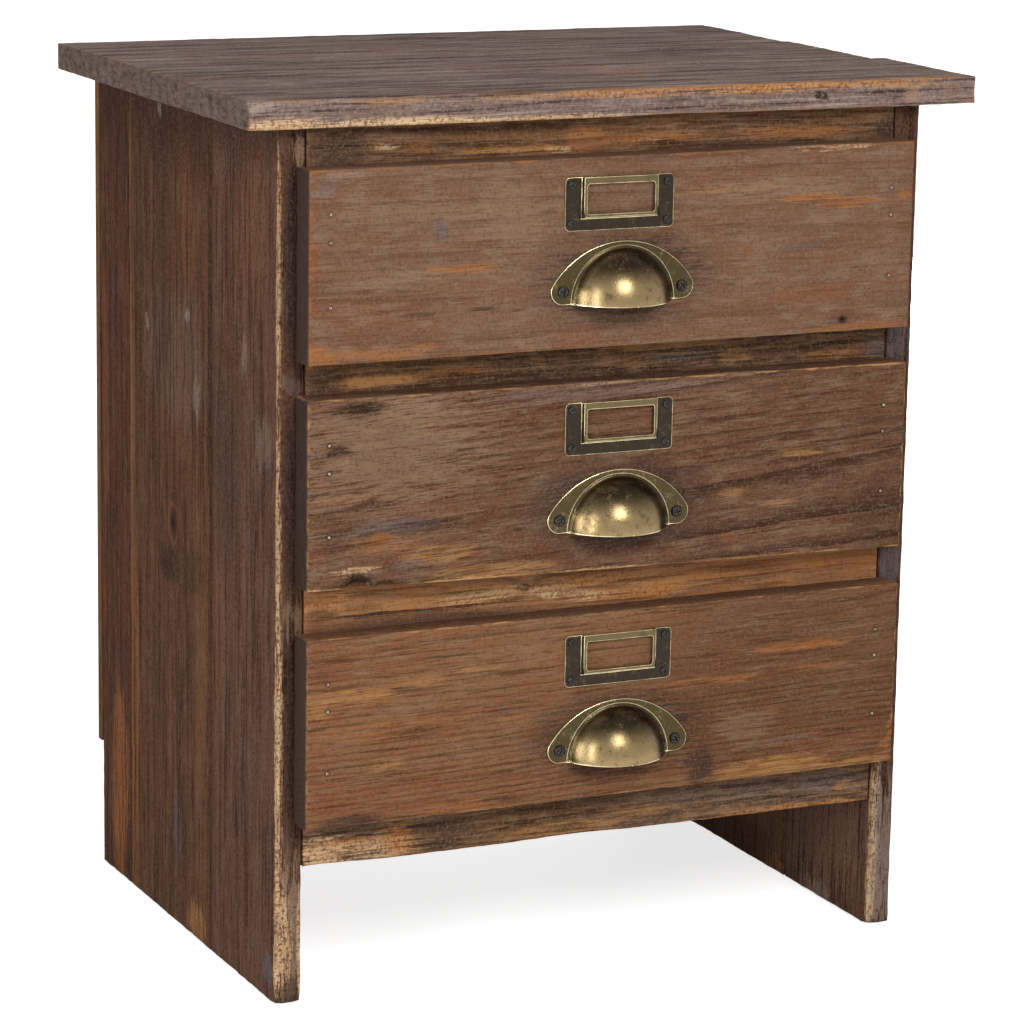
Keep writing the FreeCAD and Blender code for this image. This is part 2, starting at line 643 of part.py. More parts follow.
def cup_pull(name, base):
    """Cup pull: a bowed flange with a screw lobe at each end, and a hollow cup with a bead along its lip."""
    x = f"({front_middle} + sizes.{name}_pull_off)"
    z = f"({base} + sizes.{name}_pull_up)"
    label = f"{name}_drawer_pull"
    flange = Piece(f"{label}_flange", x, face_y, z)
    drawing = flange.sketch("XZ_Plane", "outline")
    lobe = "sizes.lobe_radius"
    span = f"(sizes.pull_wide / 2 - {lobe})"
    rise = f"(sizes.pull_high - {lobe})"
    bow_z = f"(({rise}^2 - {span}^2 - {lobe}^2) / (2 * ({rise} - {lobe})))"
    bow = f"(sizes.pull_high - {bow_z})"
    lobe_r, lobe_u, bow_v = value(lobe), value(span), value(bow_z)
    turn = math.atan2(lobe_r - bow_v, lobe_u)

    def arc(u, v, radius, start, end):
        ring = Part.Circle(Vector(u, v, 0), Vector(0, 0, 1), radius)
        return drawing.addGeometry(Part.ArcOfCircle(ring, start, end), False)

    right_lobe = arc(lobe_u, lobe_r, lobe_r, -math.pi / 2, turn)
    top = arc(0, bow_v, value(bow), turn, math.pi - turn)
    left_lobe = arc(-lobe_u, lobe_r, lobe_r, math.pi - turn, 1.5 * math.pi)
    base_line = Part.LineSegment(Vector(-lobe_u, 0, 0), Vector(lobe_u, 0, 0))
    foot = drawing.addGeometry(base_line, False)
    for first, second in ((right_lobe, top), (top, left_lobe)):
        drawing.addConstraint(Sketcher.Constraint("Tangent", first, 2, second, 1))
    drawing.addConstraint(Sketcher.Constraint("Tangent", left_lobe, 2, foot, 1))
    drawing.addConstraint(Sketcher.Constraint("Tangent", foot, 2, right_lobe, 1))
    drawing.addConstraint(Sketcher.Constraint("PointOnObject", foot, 1, -1))
    for ring, radius in ((right_lobe, lobe), (left_lobe, lobe), (top, bow)):
        index = drawing.addConstraint(Sketcher.Constraint("Radius", ring, value(radius)))
        drawing.setExpression(f"Constraints[{index}]", radius)
    fix(drawing, right_lobe, 3, "X", span)
    fix(drawing, left_lobe, 3, "X", f"-{span}")
    flange.pad(drawing, size("pull_sheet"))
    holes = flange.sketch("XZ_Plane", "screw_holes")
    for side in (-1, 1):
        shank_hole(holes, f"{side} * {span}", lobe, "(sizes.pull_screw_radius + sizes.hole_play)")
    flange.pocket(holes, size("pull_sheet"), True)

    # The dome is a cap of a ball whose centre lies behind the face, cut level at the pull's base
    reach = "sizes.cup_reach"
    ball = f"((sizes.cup_wide^2 / 4 + {reach}^2) / (2 * {reach}))"
    behind = f"({ball} - {reach})"
    ball_centre = (x, f"({face_y} + {behind})", z)
    dome = solid("Sphere", f"{label}_dome", ball_centre, "up", Radius=ball)
    lip = solid("Cylinder", f"{label}_lip", ball_centre, "up",
                Radius=f"({ball} + sizes.lip_proud)", Height="sizes.lip_high")
    region = solid("Box", f"{label}_region", (f"({x} - {ball})", f"({face_y} - {ball})", z), "up",
                   Length=f"(2 * {ball})", Width=ball, Height=ball)
    lipped = doc.addObject("Part::MultiFuse", f"{label}_lipped")
    lipped.Shapes = [dome, lip]
    cup = doc.addObject("Part::Common", f"{label}_cup")
    cup.Base = lipped
    cup.Tool = region
    stamped = doc.addObject("Part::MultiFuse", f"{label}_stamped")
    stamped.Shapes = [cup, flange.body]

    # The hollow follows the inner ball in a few tapers
    depths = [f"({share} * ({reach} - sizes.pull_sheet))" for share in hollow_shares]
    radii = [f"sqrt(({ball} - sizes.pull_sheet)^2 - ({behind} + {depth})^2)" for depth in depths]
    tapers = [solid("Cone", f"{label}_hollow_{i}", (x, f"({face_y} - {depths[i]})", z), "front",
                    Radius1=radii[i], Radius2=radii[i + 1], Height=f"({depths[i + 1]} - {depths[i]})")
              for i in range(len(depths) - 1)]
    hollow = doc.addObject("Part::MultiFuse", f"{label}_hollow")
    hollow.Shapes = tapers
    pull = doc.addObject("Part::Cut", label)
    pull.Label = label
    pull.Base = stamped
    pull.Tool = hollow
    nodes.append(pull)


def hardware_screws(name, kind, y, places):
    """One group of like screws; kind names their sizes in the sheet."""
    screws = []
    for i, (x, z) in enumerate(places, 1):
        screws.append(screw(f"{name}_{kind}_screw_{i}", (x, y, z),
                            size(f"{kind}_screw_radius"), size(f"{kind}_screw_long"),
                            size(f"{kind}_head_radius"), size(f"{kind}_head_high")))
    nodes.append(group(f"{name}_drawer_{kind}_screws", screws))


def drawer_fasteners(name, base):
    lobe_z = f"({base} + sizes.{name}_pull_up + sizes.lobe_radius)"
    lobes = [(lobe_x(side, f"sizes.{name}_pull_off"), lobe_z) for side in (-1, 1)]
    hardware_screws(name, "pull", f"({face_y} - sizes.pull_sheet)", lobes)
    labels = label_screws_at(f"sizes.{name}_label_off", base)
    hardware_screws(name, "label", f"({face_y} - sizes.label_sheet)", labels)

    wide = size("brad_wide")
    half = "sizes.brad_wide / 2"
    box_low = f"{base} + sizes.box_lift - {half}"
    front_long = "(sizes.front_thick + sizes.brad_bite)"
    back_long = "(sizes.box_side_thick + sizes.brad_bite)"
    back_start = {"left": box_left, "right": f"({box_right} - {back_long})"}
    brads = []
    for hand, x in brad_x.items():
        for share in brad_shares:
            place = (f"({x} - {half})", face_y, f"({box_low} + {share} * {box_high})")
            brads.append(nail(f"{name}_{hand}_brad", place, Length=wide, Width=front_long, Height=wide))
        for share in back_brad_shares:
            place = (back_start[hand], f"({back_brad_y} - {half})", f"({box_low} + {share} * {box_high})")
            brads.append(nail(f"{name}_{hand}_back_brad", place, Length=back_long, Width=wide, Height=wide))
    nodes.append(group(f"{name}_drawer_brads", brads))


for name, base in (("top", top_open), ("middle", middle_open), ("bottom", bottom_open)):
    drawer_front(name, base)
    for hand in ("left", "right"):
        drawer_side(name, hand, base)
    drawer_back(name, base)
    drawer_floor(name, base)
    label_frame(name, base)
    cup_pull(name, base)
    drawer_fasteners(name, base)

# Nails of the case: through the strips into the sides and the top, and through the back panel
nail_wide = size("nail_wide")
half_nail = "sizes.nail_wide / 2"
strip_nail_long = "(sizes.runner_wide + sizes.strip_nail_bite)"
strip_nail_x = {
    "left": "(sizes.side_thick - sizes.strip_nail_bite)",
    "right": f"({inner_right} - sizes.runner_wide)",
}
runner_nails = []
for name, (low, high) in strips.items():
    for hand, x in strip_nail_x.items():
        for board, (start, wide, nail_y) in side_boards.items():
            place = (x, f"({nail_y} - {half_nail})", f"({low} + {high} / 2 - {half_nail})")
            runner_nails.append(nail(f"{hand}_{name}_{board}_nail", place,
                                     Length=strip_nail_long, Width=nail_wide, Height=nail_wide))
nodes.append(group("runner_nails", runner_nails))

top_nail_long = "(sizes.top_rail_high + sizes.strip_nail_bite)"
top_nails = []
for hand, x in cleat_x.items():
    for board, (start, wide, over_right, nail_y) in top_boards.items():
        place = (f"({x} - {half_nail})", f"({nail_y} - {half_nail})", top_rail_low)
        top_nails.append(nail(f"{hand}_{board}_top_nail", place,
                              Length=nail_wide, Width=nail_wide, Height=top_nail_long))
nodes.append(group("top_nails", top_nails))

panel_nail_long = "(sizes.panel_nail_bite + sizes.panel_thick)"
panel_nail_y = f"({case_deep} - sizes.panel_nail_bite)"
panel_nails = []
for hand, x in nail_x.items():
    for height in nail_heights:
        place = (f"({x} - {half_nail})", panel_nail_y, f"({height} - {half_nail})")
        panel_nails.append(nail(f"{hand}_panel_nail", place,
                                Length=nail_wide, Width=panel_nail_long, Height=nail_wide))
nodes.append(group("panel_nails", panel_nails))

# Every feature must have built and every node must be closed solids before anything is written
doc.recompute()
failed = [thing.Label for thing in doc.Objects if "Invalid" in thing.State or "Error" in thing.State]
if failed:
    raise RuntimeError(f"not built: {failed}")
for node in nodes:
    if node.Shape.isNull() or not node.Shape.isValid() or not node.Shape.Solids:
        raise RuntimeError(f"{node.Label} has no valid solid")

os.makedirs("parts", exist_ok=True)
for node in nodes:
    node.Shape.exportStep(f"parts/{node.Label}.step")
print(f"{len(nodes)} nodes written")
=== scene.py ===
import bmesh
import bpy
import math
from mathutils import Matrix, Vector


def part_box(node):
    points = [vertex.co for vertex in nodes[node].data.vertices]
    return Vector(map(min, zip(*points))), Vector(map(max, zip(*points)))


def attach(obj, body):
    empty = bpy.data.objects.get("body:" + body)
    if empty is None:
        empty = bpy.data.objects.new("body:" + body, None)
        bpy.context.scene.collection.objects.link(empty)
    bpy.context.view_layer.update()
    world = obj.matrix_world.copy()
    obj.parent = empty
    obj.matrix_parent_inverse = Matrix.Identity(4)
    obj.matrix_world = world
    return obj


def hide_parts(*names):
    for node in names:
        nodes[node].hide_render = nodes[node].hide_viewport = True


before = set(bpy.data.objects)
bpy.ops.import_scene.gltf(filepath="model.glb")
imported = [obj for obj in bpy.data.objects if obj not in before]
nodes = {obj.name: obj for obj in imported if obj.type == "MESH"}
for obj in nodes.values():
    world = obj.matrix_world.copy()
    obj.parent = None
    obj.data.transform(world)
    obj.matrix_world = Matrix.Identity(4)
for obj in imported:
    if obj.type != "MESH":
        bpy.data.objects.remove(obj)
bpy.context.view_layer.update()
print("frame loaded:", len(nodes), "nodes")

# Places below are in millimetres in the case: X from the left side's outer face, Y from the
# sides' front edge towards the back, Z from the floor
mm = 0.001
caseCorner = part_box("left_side_front_board")[0]
drawers = ("top", "middle", "bottom")


def at(x, y, z):
    return Vector((caseCorner.x + x * mm, caseCorner.y + y * mm, z * mm))


def caseSpot(spot):
    return tuple((spot - at(0, 0, 0)) / mm)


# Modelling by hand: start a shape, pick some of it, change it

def restart():
    if bpy.context.object and bpy.context.object.mode != "OBJECT":
        bpy.ops.object.mode_set(mode="OBJECT")
    bpy.ops.object.select_all(action="DESELECT")


def hold(piece):
    restart()
    bpy.context.view_layer.objects.active = piece
    piece.select_set(True)


def named(name):
    piece = bpy.context.object
    piece.name = piece.data.name = name
    hold(piece)
    bpy.ops.object.transform_apply(location=True, rotation=True, scale=True)
    return piece


def startBlock(name, low, high):
    low, high = Vector(low), Vector(high)
    restart()
    bpy.ops.mesh.primitive_cube_add(size=1, location=(low + high) / 2, scale=high - low)
    return named(name)


def pick(piece, kind, wanted):
    hold(piece)
    bpy.ops.object.mode_set(mode="EDIT")
    bpy.ops.mesh.select_mode(type=kind)
    bpy.ops.mesh.select_all(action="DESELECT")
    shape = bmesh.from_edit_mesh(piece.data)
    for part in {"VERT": shape.verts, "EDGE": shape.edges, "FACE": shape.faces}[kind]:
        part.select_set(bool(wanted(part)))
    bmesh.update_edit_mesh(piece.data)


def runsAlong(edge, axis, least):
    span = edge.verts[1].co - edge.verts[0].co
    return span.length > least and abs(span[axis]) > 0.98 * span.length


def pickAll():
    bpy.ops.mesh.select_all(action="SELECT")


def outwards():
    pickAll()
    bpy.ops.mesh.normals_make_consistent(inside=False)


def applyAll(piece):
    hold(piece)
    for modifier in list(piece.modifiers):
        bpy.ops.object.modifier_apply(modifier=modifier.name)


def smooth(piece, degrees):
    hold(piece)
    bpy.ops.object.shade_smooth_by_angle(angle=math.radians(degrees))


def joinAll(name, parts):
    restart()
    for part in parts:
        part.select_set(True)
    bpy.context.view_layer.objects.active = parts[0]
    bpy.ops.object.join()
    return named(name)


def copyTo(original, name, place):
    piece = original.copy()
    piece.data = original.data.copy()
    piece.name = piece.data.name = name
    piece.data.transform(Matrix.Translation(place))
    bpy.context.scene.collection.objects.link(piece)
    return piece


def discard(piece):
    bpy.data.objects.remove(piece, do_unlink=True)


# Finishes. A wire is one socket, and sums on wires add the nodes that do them

class Wire:
    def __init__(self, finish, socket):
        self.finish = finish
        self.socket = socket

    def maths(self, operation, *values):
        return self.finish.node("Math", {"operation": operation}, dict(enumerate(values)))

    def __add__(self, other):
        return self.maths("ADD", self, other)

    __radd__ = __add__

    def __mul__(self, other):
        return self.maths("MULTIPLY", self, other)

    __rmul__ = __mul__

    def __sub__(self, other):
        return self.maths("SUBTRACT", self, other)

    def __rsub__(self, other):
        return self.maths("SUBTRACT", other, self)

    def __truediv__(self, other):
        return self.maths("DIVIDE", self, other)

    def __rtruediv__(self, other):
        return self.maths("DIVIDE", other, self)

    def __pow__(self, other):
        return self.maths("POWER", self, other)

    def __mod__(self, other):
        return self.maths("FLOORED_MODULO", self, other)

    def __abs__(self):
        return self.maths("ABSOLUTE", self)

    def least(self, other):
        return self.maths("MINIMUM", self, other)

    def most(self, other):
        return self.maths("MAXIMUM", self, other)


class Finish:
    def __init__(self, name, world=None):
        self.material = world or bpy.data.materials.new(name)
        self.material.use_nodes = True
        self.tree = self.material.node_tree
        self.tree.nodes.clear()

    def node(self, kind, settings=None, values=None, out=0):
        made = self.tree.nodes.new("ShaderNode" + kind)
        for key, value in (settings or {}).items():
            setattr(made, key, value)
        for key, value in (values or {}).items():
            if isinstance(value, Wire):
                self.tree.links.new(value.socket, made.inputs[key])
            else:
                made.inputs[key].default_value = value
        return Wire(self, made.outputs[out]) if made.outputs else made

    def mix(self, share, first, second):
        return self.node("Mix", {"data_type": "RGBA"}, {0: share, 6: first, 7: second}, 2)

    def between(self, value, low, high, start=0, end=1):  # smooth step from low to high
        return self.node("MapRange", {"interpolation_type": "SMOOTHSTEP"},
                         {0: value, 1: low, 2: high, 3: start, 4: end})

    def noise(self, place, scale, detail, rough, out=0):
        values = {"Vector": place, "Scale": scale, "Detail": detail, "Roughness": rough}
        return self.node("TexNoise", {}, values, out)

    def moved(self, place, centre, scale):  # so that centre is 0 and scale is 1
        return self.node("Mapping", {"vector_type": "TEXTURE"},
                         {"Vector": place, "Location": centre, "Scale": scale})

    def vector(self, operation, first, second):
        return self.node("VectorMath", {"operation": operation}, {0: first, 1: second})

    def length(self, vector):
        return self.node("VectorMath", {"operation": "LENGTH"}, {0: vector}, 1)

    def parts(self, vector):
        split = self.node("SeparateXYZ", {}, {0: vector})
        return [Wire(self, output) for output in split.socket.node.outputs]

    def caseplace(self):  # the surface's place in case millimetres
        raw = self.node("TexCoord", out=3)
        return self.moved(raw, tuple(at(0, 0, 0)), (mm, mm, mm))

    def seen(self):  # 1 where the camera looks, straight or by way of a mirror or glass
        path = self.node("LightPath").socket.node
        straight, mirrored, through = (Wire(self, path.outputs[f"Is {kind} Ray"])
                                       for kind in ("Camera", "Glossy", "Transmission"))
        return straight.most(mirrored).most(through)

    def close(self, colour, rough, height, depth, metal=0, **fixed):
        bump = self.node("Bump", {}, {"Strength": 1.0, "Distance": depth * mm, "Height": height})
        shader = self.node("BsdfPrincipled", {}, {
            "Base Color": colour, "Roughness": rough, "Metallic": metal, "Normal": bump, **fixed})
        self.node("OutputMaterial", {}, {"Surface": shader})
        return self.material


def tint(red, green, blue):  # a colour as seen on a screen, 0 to 255
    def linear(value):
        value /= 255
        return value / 12.92 if value < 0.04 else ((value + 0.055) / 1.055) ** 2.4
    return (linear(red), linear(green), linear(blue), 1)


def paint(piece, material):
    piece.data.materials.clear()
    piece.data.materials.append(material)


# Wood: growth rings round a heart, fibres, blotches, dry scuffs, worn rims and single marks

stains = {
    "raw": tint(192, 138, 84),
    "cream": tint(228, 194, 150),
    "fawn": tint(176, 134, 98),
    "orange": tint(172, 108, 62),
    "rust": tint(140, 84, 56),
    "gold": tint(188, 135, 82),
    "tan": tint(150, 122, 98),
    "grey": tint(124, 112, 104),
    "blue": tint(96, 96, 102),
    "dark": tint(44, 31, 25),
    # grime: real dirt, and painted shade round the pulls, beside the drawers and in the rails' crevices
    "grime": tint(54, 45, 44),
    "warm": tint(134, 88, 62),
    "pale": tint(164, 146, 132),
    "pink": tint(168, 130, 108),
    "shade": tint(94, 63, 46),
    "dull": tint(100, 76, 64),
}

bareStains = ("raw", "cream", "dark", "grime", "pale", "pink", "tan")  # these lie over the rings

seedStep = 137.0  # mm along the noise from one board to the next
grainOrder = {"x": (0, 2, 1), "y": (1, 2, 0), "z": (2, 1, 0)}

woodLook = {
    "ground": tint(112, 84, 66),
    "warm": tint(116, 74, 50),
    "pale": tint(128, 104, 86),
    "deep": tint(58, 40, 32),
    "scuff": tint(150, 124, 100),
    "rim": tint(160, 112, 70),
    "ringStep": 5.0,  # mm between growth rings
    "rings": 0.5,
    "ringSide": (-2000, -1000),  # the rings come out between these places along the board
    "heart": (-18, 34),  # the pith from the board's middle, across and behind
    "wander": 13,
    "fibres": 0.6,
    "fibreSize": (12, 0.8),
    "streaks": 0.6,
    "streakSize": (60, 2.4),
    "grit": 0.35,
    "slope": 0,
    "blotches": 0.7,
    "scuffs": 0.5,
    "rimWide": 2.0,
    "rimWear": 0.6,
    "end": tint(50, 42, 41),
    "ends": 0.86,
    "rough": 0.66,
    "bump": 0.4,
    "nails": (),
    "seed": 0,
}


def woodFinish(name, grain, low, high, changes, marks=(), knots=(), slant=None):
    look = {**woodLook, **changes}
    finish = Finish(name)
    place = finish.caseplace()
    x, y, z = finish.parts(place)
    order = grainOrder[grain]
    along, across, deep = ((x, y, z)[i] for i in order)
    middle = [(low[i] + high[i]) / 2 for i in order]
    u, w = along + seedStep * look["seed"], deep - middle[2]
    v = across - middle[1] + (along - middle[0]) * look["slope"]

    def grainNoise(size, detail, rough, offset, out=0):
        spot = finish.node("CombineXYZ", {}, {0: u / size[0] + offset, 1: v / size[1], 2: w / size[-1]})
        return finish.noise(spot, 1, detail, rough, out)

    swayV, swayW, patchy = finish.parts(grainNoise((230, 70), 1, 0.5, 0, 1))
    hair = grainNoise(look["fibreSize"], 2, 0.65, 23)
    streak = grainNoise(look["streakSize"], 2, 0.6, 5)
    grit = finish.noise(place, 0.5, 1, 0.6)
    broad = grainNoise((90, 26), 2, 0.55, 41)
    cloud = grainNoise((22, 9), 3, 0.6, 53)

    v2 = v + (swayV - 0.5) * look["wander"]
    w2 = w + (swayW - 0.5) * look["wander"]
    heartV, heartW = look["heart"]
    reach = ((v2 - heartV) * (v2 - heartV) + (w2 - heartW) * (w2 - heartW)) ** 0.5
    for spot, half in knots:
        wide = [half * (2.6 if i == order[0] else 1.5) for i in range(3)]
        far = finish.length(finish.moved(place, spot, wide))
        reach = reach + half * 1.3 / (1 + far * far * far)
    phase = (reach / look["ringStep"] + streak * 0.5) % 1
    late = finish.between(phase, 0.45, 0.94) * finish.between(phase, 1.0, 0.94)
    late = late * finish.between(patchy + (grit - 0.5) * 0.3, 0.22, 0.5)
    late = late * finish.between(along + (patchy - 0.5) * 120, *look["ringSide"], 0.35, 1)

    colour = finish.mix(finish.between(broad, 0.38, 0.62) * look["blotches"], look["ground"], look["warm"])
    colour = finish.mix(finish.between(cloud, 0.48, 0.68) * look["blotches"] * 0.8, colour, look["pale"])
    # the marks' outlines stray with the blotches along the grain and with the streaks across it
    strayed = [(streak - 0.5) * 8] * 3
    strayed[order[0]] = (cloud - 0.5) * 24
    strayed = finish.vector("ADD", place, finish.node("CombineXYZ", {}, dict(enumerate(strayed))))
    ragged = finish.between(hair + streak, 0.8, 1.12)

    freckle = finish.between(grit * 0.6 + streak * 0.4, 0.42, 0.58)
    paints = {**stains, "cream": finish.mix(freckle, stains["fawn"], stains["cream"]),
              "raw": finish.mix(freckle, stains["orange"], stains["raw"])}

    def stained(colour, bare):
        marked = colour
        rough = (0.5 - ragged) * (0.55 if bare else 0.3)
        for stain, spot, half, strength in marks:
            if (stain in bareStains) == bare:
                far = finish.length(finish.moved(strayed, spot, half)) + rough
                marked = finish.mix(finish.between(far, 1.1, 0.55, 0, strength), marked, paints[stain])
        hold = 0.85 if bare else 0.6
        return finish.mix(hold + ragged * (1 - hold), colour, marked)

    colour = stained(colour, False)
    colour = finish.mix(late * look["rings"], colour, look["deep"])
    colour = finish.mix(finish.between(streak, 0.48, 0.34) * look["streaks"], colour, look["deep"])
    colour = finish.mix(finish.between(streak, 0.54, 0.7) * look["streaks"], colour, look["pale"])
    colour = stained(colour, True)
    colour = finish.mix(finish.between(hair, 0.46, 0.3) * look["fibres"], colour, look["deep"])
    dry = finish.between(hair, 0.52, 0.68) * finish.between(cloud, 0.36, 0.56)
    colour = finish.mix(dry * look["scuffs"], colour, look["scuff"])
    colour = finish.mix(finish.between(grit, 0.46, 0.3) * look["grit"], colour, look["deep"])
    colour = finish.mix(finish.between(grit, 0.54, 0.7) * look["grit"], colour, look["pale"])

    gaps = [(part - low[i]).least(high[i] - part) for i, part in enumerate((x, y, z))]
    if slant:  # heights of the four corners: lower left and right, upper left and right
        share = (x - low[0]) / (high[0] - low[0])
        lower, upper = (slant[i] + share * (slant[i + 1] - slant[i]) for i in (0, 2))
        gaps[2] = (z - lower).least(upper - z)
    small, large = gaps[0].least(gaps[1]), gaps[0].most(gaps[1])
    rim = small.most(large.least(gaps[2]))
    worn = finish.between(rim + (cloud - 0.5) * look["rimWide"] * 4 + (hair - 0.5) * 2, look["rimWide"], 0)
    colour = finish.mix(worn * look["rimWear"], colour, look["rim"])
    colour = finish.mix(finish.between(gaps[order[0]], 1.6, 0.4) * look["ends"], colour, look["end"])

    for spot in look["nails"]:
        far = finish.length(finish.moved(place, spot, (1, 1, 1)))
        colour = finish.mix(finish.between(far, 2.6, 1.4) * 0.6, colour, look["deep"])

    height = hair
    for spot, half in knots:
        wide = [half * (1.2 if i == order[0] else 0.85) for i in range(3)]
        far = finish.length(finish.moved(place, spot, wide))
        far = far + (hair - 0.5) * 0.5
        colour = finish.mix(finish.between(far, 1.5, 0.6) * 0.7, colour, stains["dark"])
        colour = finish.mix(finish.between(abs(far - 1.5), 0.35, 0) * 0.35, colour, stains["rust"])
        colour = finish.mix(finish.between(far, 0.65, 0.2) * 0.8, colour, tint(22, 16, 13))
        height = height - finish.between(far, 0.7, 0.2) * 2
    rough = look["rough"] + (hair - 0.5) * 0.2 + worn * 0.12
    return finish.close(colour, rough, height, look["bump"], 0, **{"Specular IOR Level": 0.01})


def casebox(piece):
    points = [caseSpot(vertex.co) for vertex in piece.data.vertices]
    return [min(p[i] for p in points) for i in range(3)], [max(p[i] for p in points) for i in range(3)]


# Metals: an aged brass that shines where it is rubbed, with painted dark reflections, painted shade and
# painted highlights, and dark screws

brassLook = {
    "old": tint(70, 60, 40),
    "mid": tint(100, 85, 58),
    "bright": tint(140, 120, 86),
    # edge: sharp edges painted near-white, rubbed brass together with a painted highlight
    "edge": tint(232, 216, 172),
    # dark: painted dark reflection over the dome's top and painted shade down its right side
    "dark": tint(34, 27, 20),
    "shadeFrom": 9,  # mm over the middle where the painted dark reflection starts
    "shadeTo": 24,
    "shade": 0.94,
    # sides: mm right of the middle over which the painted shade of the dome's right side comes in
    "sides": (14, 31),
    "spots": 0.4,
    "rough": 0.25,
}


def brassFinish(name, centre, changes):
    look = {**brassLook, **changes}
    finish = Finish(name)
    place = finish.caseplace()
    near = finish.moved(place, centre, (1, 1, 1))
    x, y, z = finish.parts(near)
    rubbed = finish.node("Attribute", {"attribute_name": "worn"}, out=2)
    cloud = finish.noise(place, 0.16, 3, 0.65)
    speck = finish.noise(place, 1.1, 2, 0.6)
    # Painted light on the dome: a dark reflection over its top, shade down its right side and a dimmer
    # left end
    high = finish.between(z + (cloud - 0.5) * 9, look["shadeFrom"], look["shadeTo"])
    far = finish.between(x + (cloud - 0.5) * 6, look["sides"][0], look["sides"][1])
    proud = finish.between(-1 * y, look["proudFrom"], look["proudTo"])
    shine = proud * finish.between(x, -36, -20, 0.5, 1)
    shine = shine * (1 - finish.between(cloud, 0.5, 0.34) * look["spots"])
    shine = shine * (1 - finish.between(speck, 0.46, 0.3) * look["spots"])
    colour = finish.mix(finish.between(shine, 0, 0.5), look["old"], look["mid"])
    colour = finish.mix(finish.between(shine, 0.4, 0.9), colour, look["bright"])
    colour = finish.mix(high.most(far) * proud * look["shade"], colour, look["dark"])
    colour = finish.mix(finish.between(speck + cloud, 1.05, 1.3) * 0.5, colour, look["bright"])
    # Sharp edges painted near-white: rubbed brass and painted highlight
    edge = finish.between(rubbed + (cloud - 0.5) * 0.8 + (speck - 0.5) * 0.3, 0.35, 0.8)
    colour = finish.mix(edge * look["edges"], colour, look["edge"])
    rough = look["rough"] + (cloud - 0.5) * 0.25 - edge * 0.05
    return finish.close(colour, rough, speck, 0.05, 1)


def screwFinish(name):
    finish = Finish(name)
    speck = finish.noise(finish.caseplace(), 1.3, 2, 0.6)
    rubbed = finish.node("Attribute", {"attribute_name": "worn"}, out=2)
    share = rubbed * finish.between(speck, 0.4, 0.6) * 0.6
    colour = finish.mix(share, tint(38, 36, 36), tint(112, 106, 98))
    return finish.close(colour, 0.38 + speck * 0.2, speck, 0.03, 1)


def markWorn(piece):  # 1 on sharp outer edges, 0 on flats and hollows
    net = bmesh.new()
    net.from_mesh(piece.data)
    layer = net.verts.layers.float.new("worn")
    for vertex in net.verts:
        bend = max((edge.calc_face_angle_signed(0) for edge in vertex.link_edges), default=0)
        vertex[layer] = min(1, max(0, (bend - 0.12) / 0.35))
    net.to_mesh(piece.data)
    net.free()


# Boards: a block with eased edges, cut into a fine net, then worn unevenly inwards

boardWear = {
    "step": 3.0,  # net of the broad faces, mm
    "thinStep": 3.9,
    "thin": 30,
    "edge": 1.1,  # easing of the edges
    "edgeSteps": 3,
    "sway": (60, 0.5),  # size and depth of the slow unevenness, mm
    "ripple": (9, 0.22),
    "rimWide": 7,
    "chips": (11, 1.1),
}


def netAlong(piece, axis, step):
    points = piece.data.vertices
    lengths = [abs(points[edge.vertices[0]].co[axis] - points[edge.vertices[1]].co[axis])
               for edge in piece.data.edges]
    longest = max(lengths)
    cuts = round(longest / (step * mm)) - 1
    if cuts > 0:
        pick(piece, "EDGE", lambda edge: runsAlong(edge, axis, longest * 0.6))
        bpy.ops.mesh.subdivide(number_cuts=cuts)
    restart()


def paintRim(piece, low, high, wide):
    group = piece.vertex_groups.new(name="rim")
    for vertex in piece.data.vertices:
        near = sorted(min(vertex.co[i] - low[i], high[i] - vertex.co[i]) for i in range(3))[1]
        weight = max(0, 1 - near / (wide * mm)) ** 2
        if weight > 0:
            group.add([vertex.index], weight, "REPLACE")


def wearBy(piece, name, size, depth, group):
    cloud = bpy.data.textures.new(f"{piece.name}_{name}", "CLOUDS")
    cloud.noise_scale = size * mm
    cloud.noise_depth = 2
    wear = piece.modifiers.new(name, "DISPLACE")
    wear.texture = cloud
    wear.mid_level = 1
    wear.strength = depth * mm
    wear.vertex_group = group


def dentBy(piece, dents):
    for number, (place, half, depth) in enumerate(dents):
        group = piece.vertex_groups.new(name=f"dent{number}")
        middle = at(*place)
        for vertex in piece.data.vertices:
            away = Vector([(vertex.co[i] - middle[i]) / (half[i] * mm) for i in range(3)]).length
            if away < 1:
                group.add([vertex.index], (1 - away * away) ** 2, "REPLACE")
        press = piece.modifiers.new(group.name, "DISPLACE")
        press.mid_level = 0
        press.strength = -depth * mm
        press.vertex_group = group.name


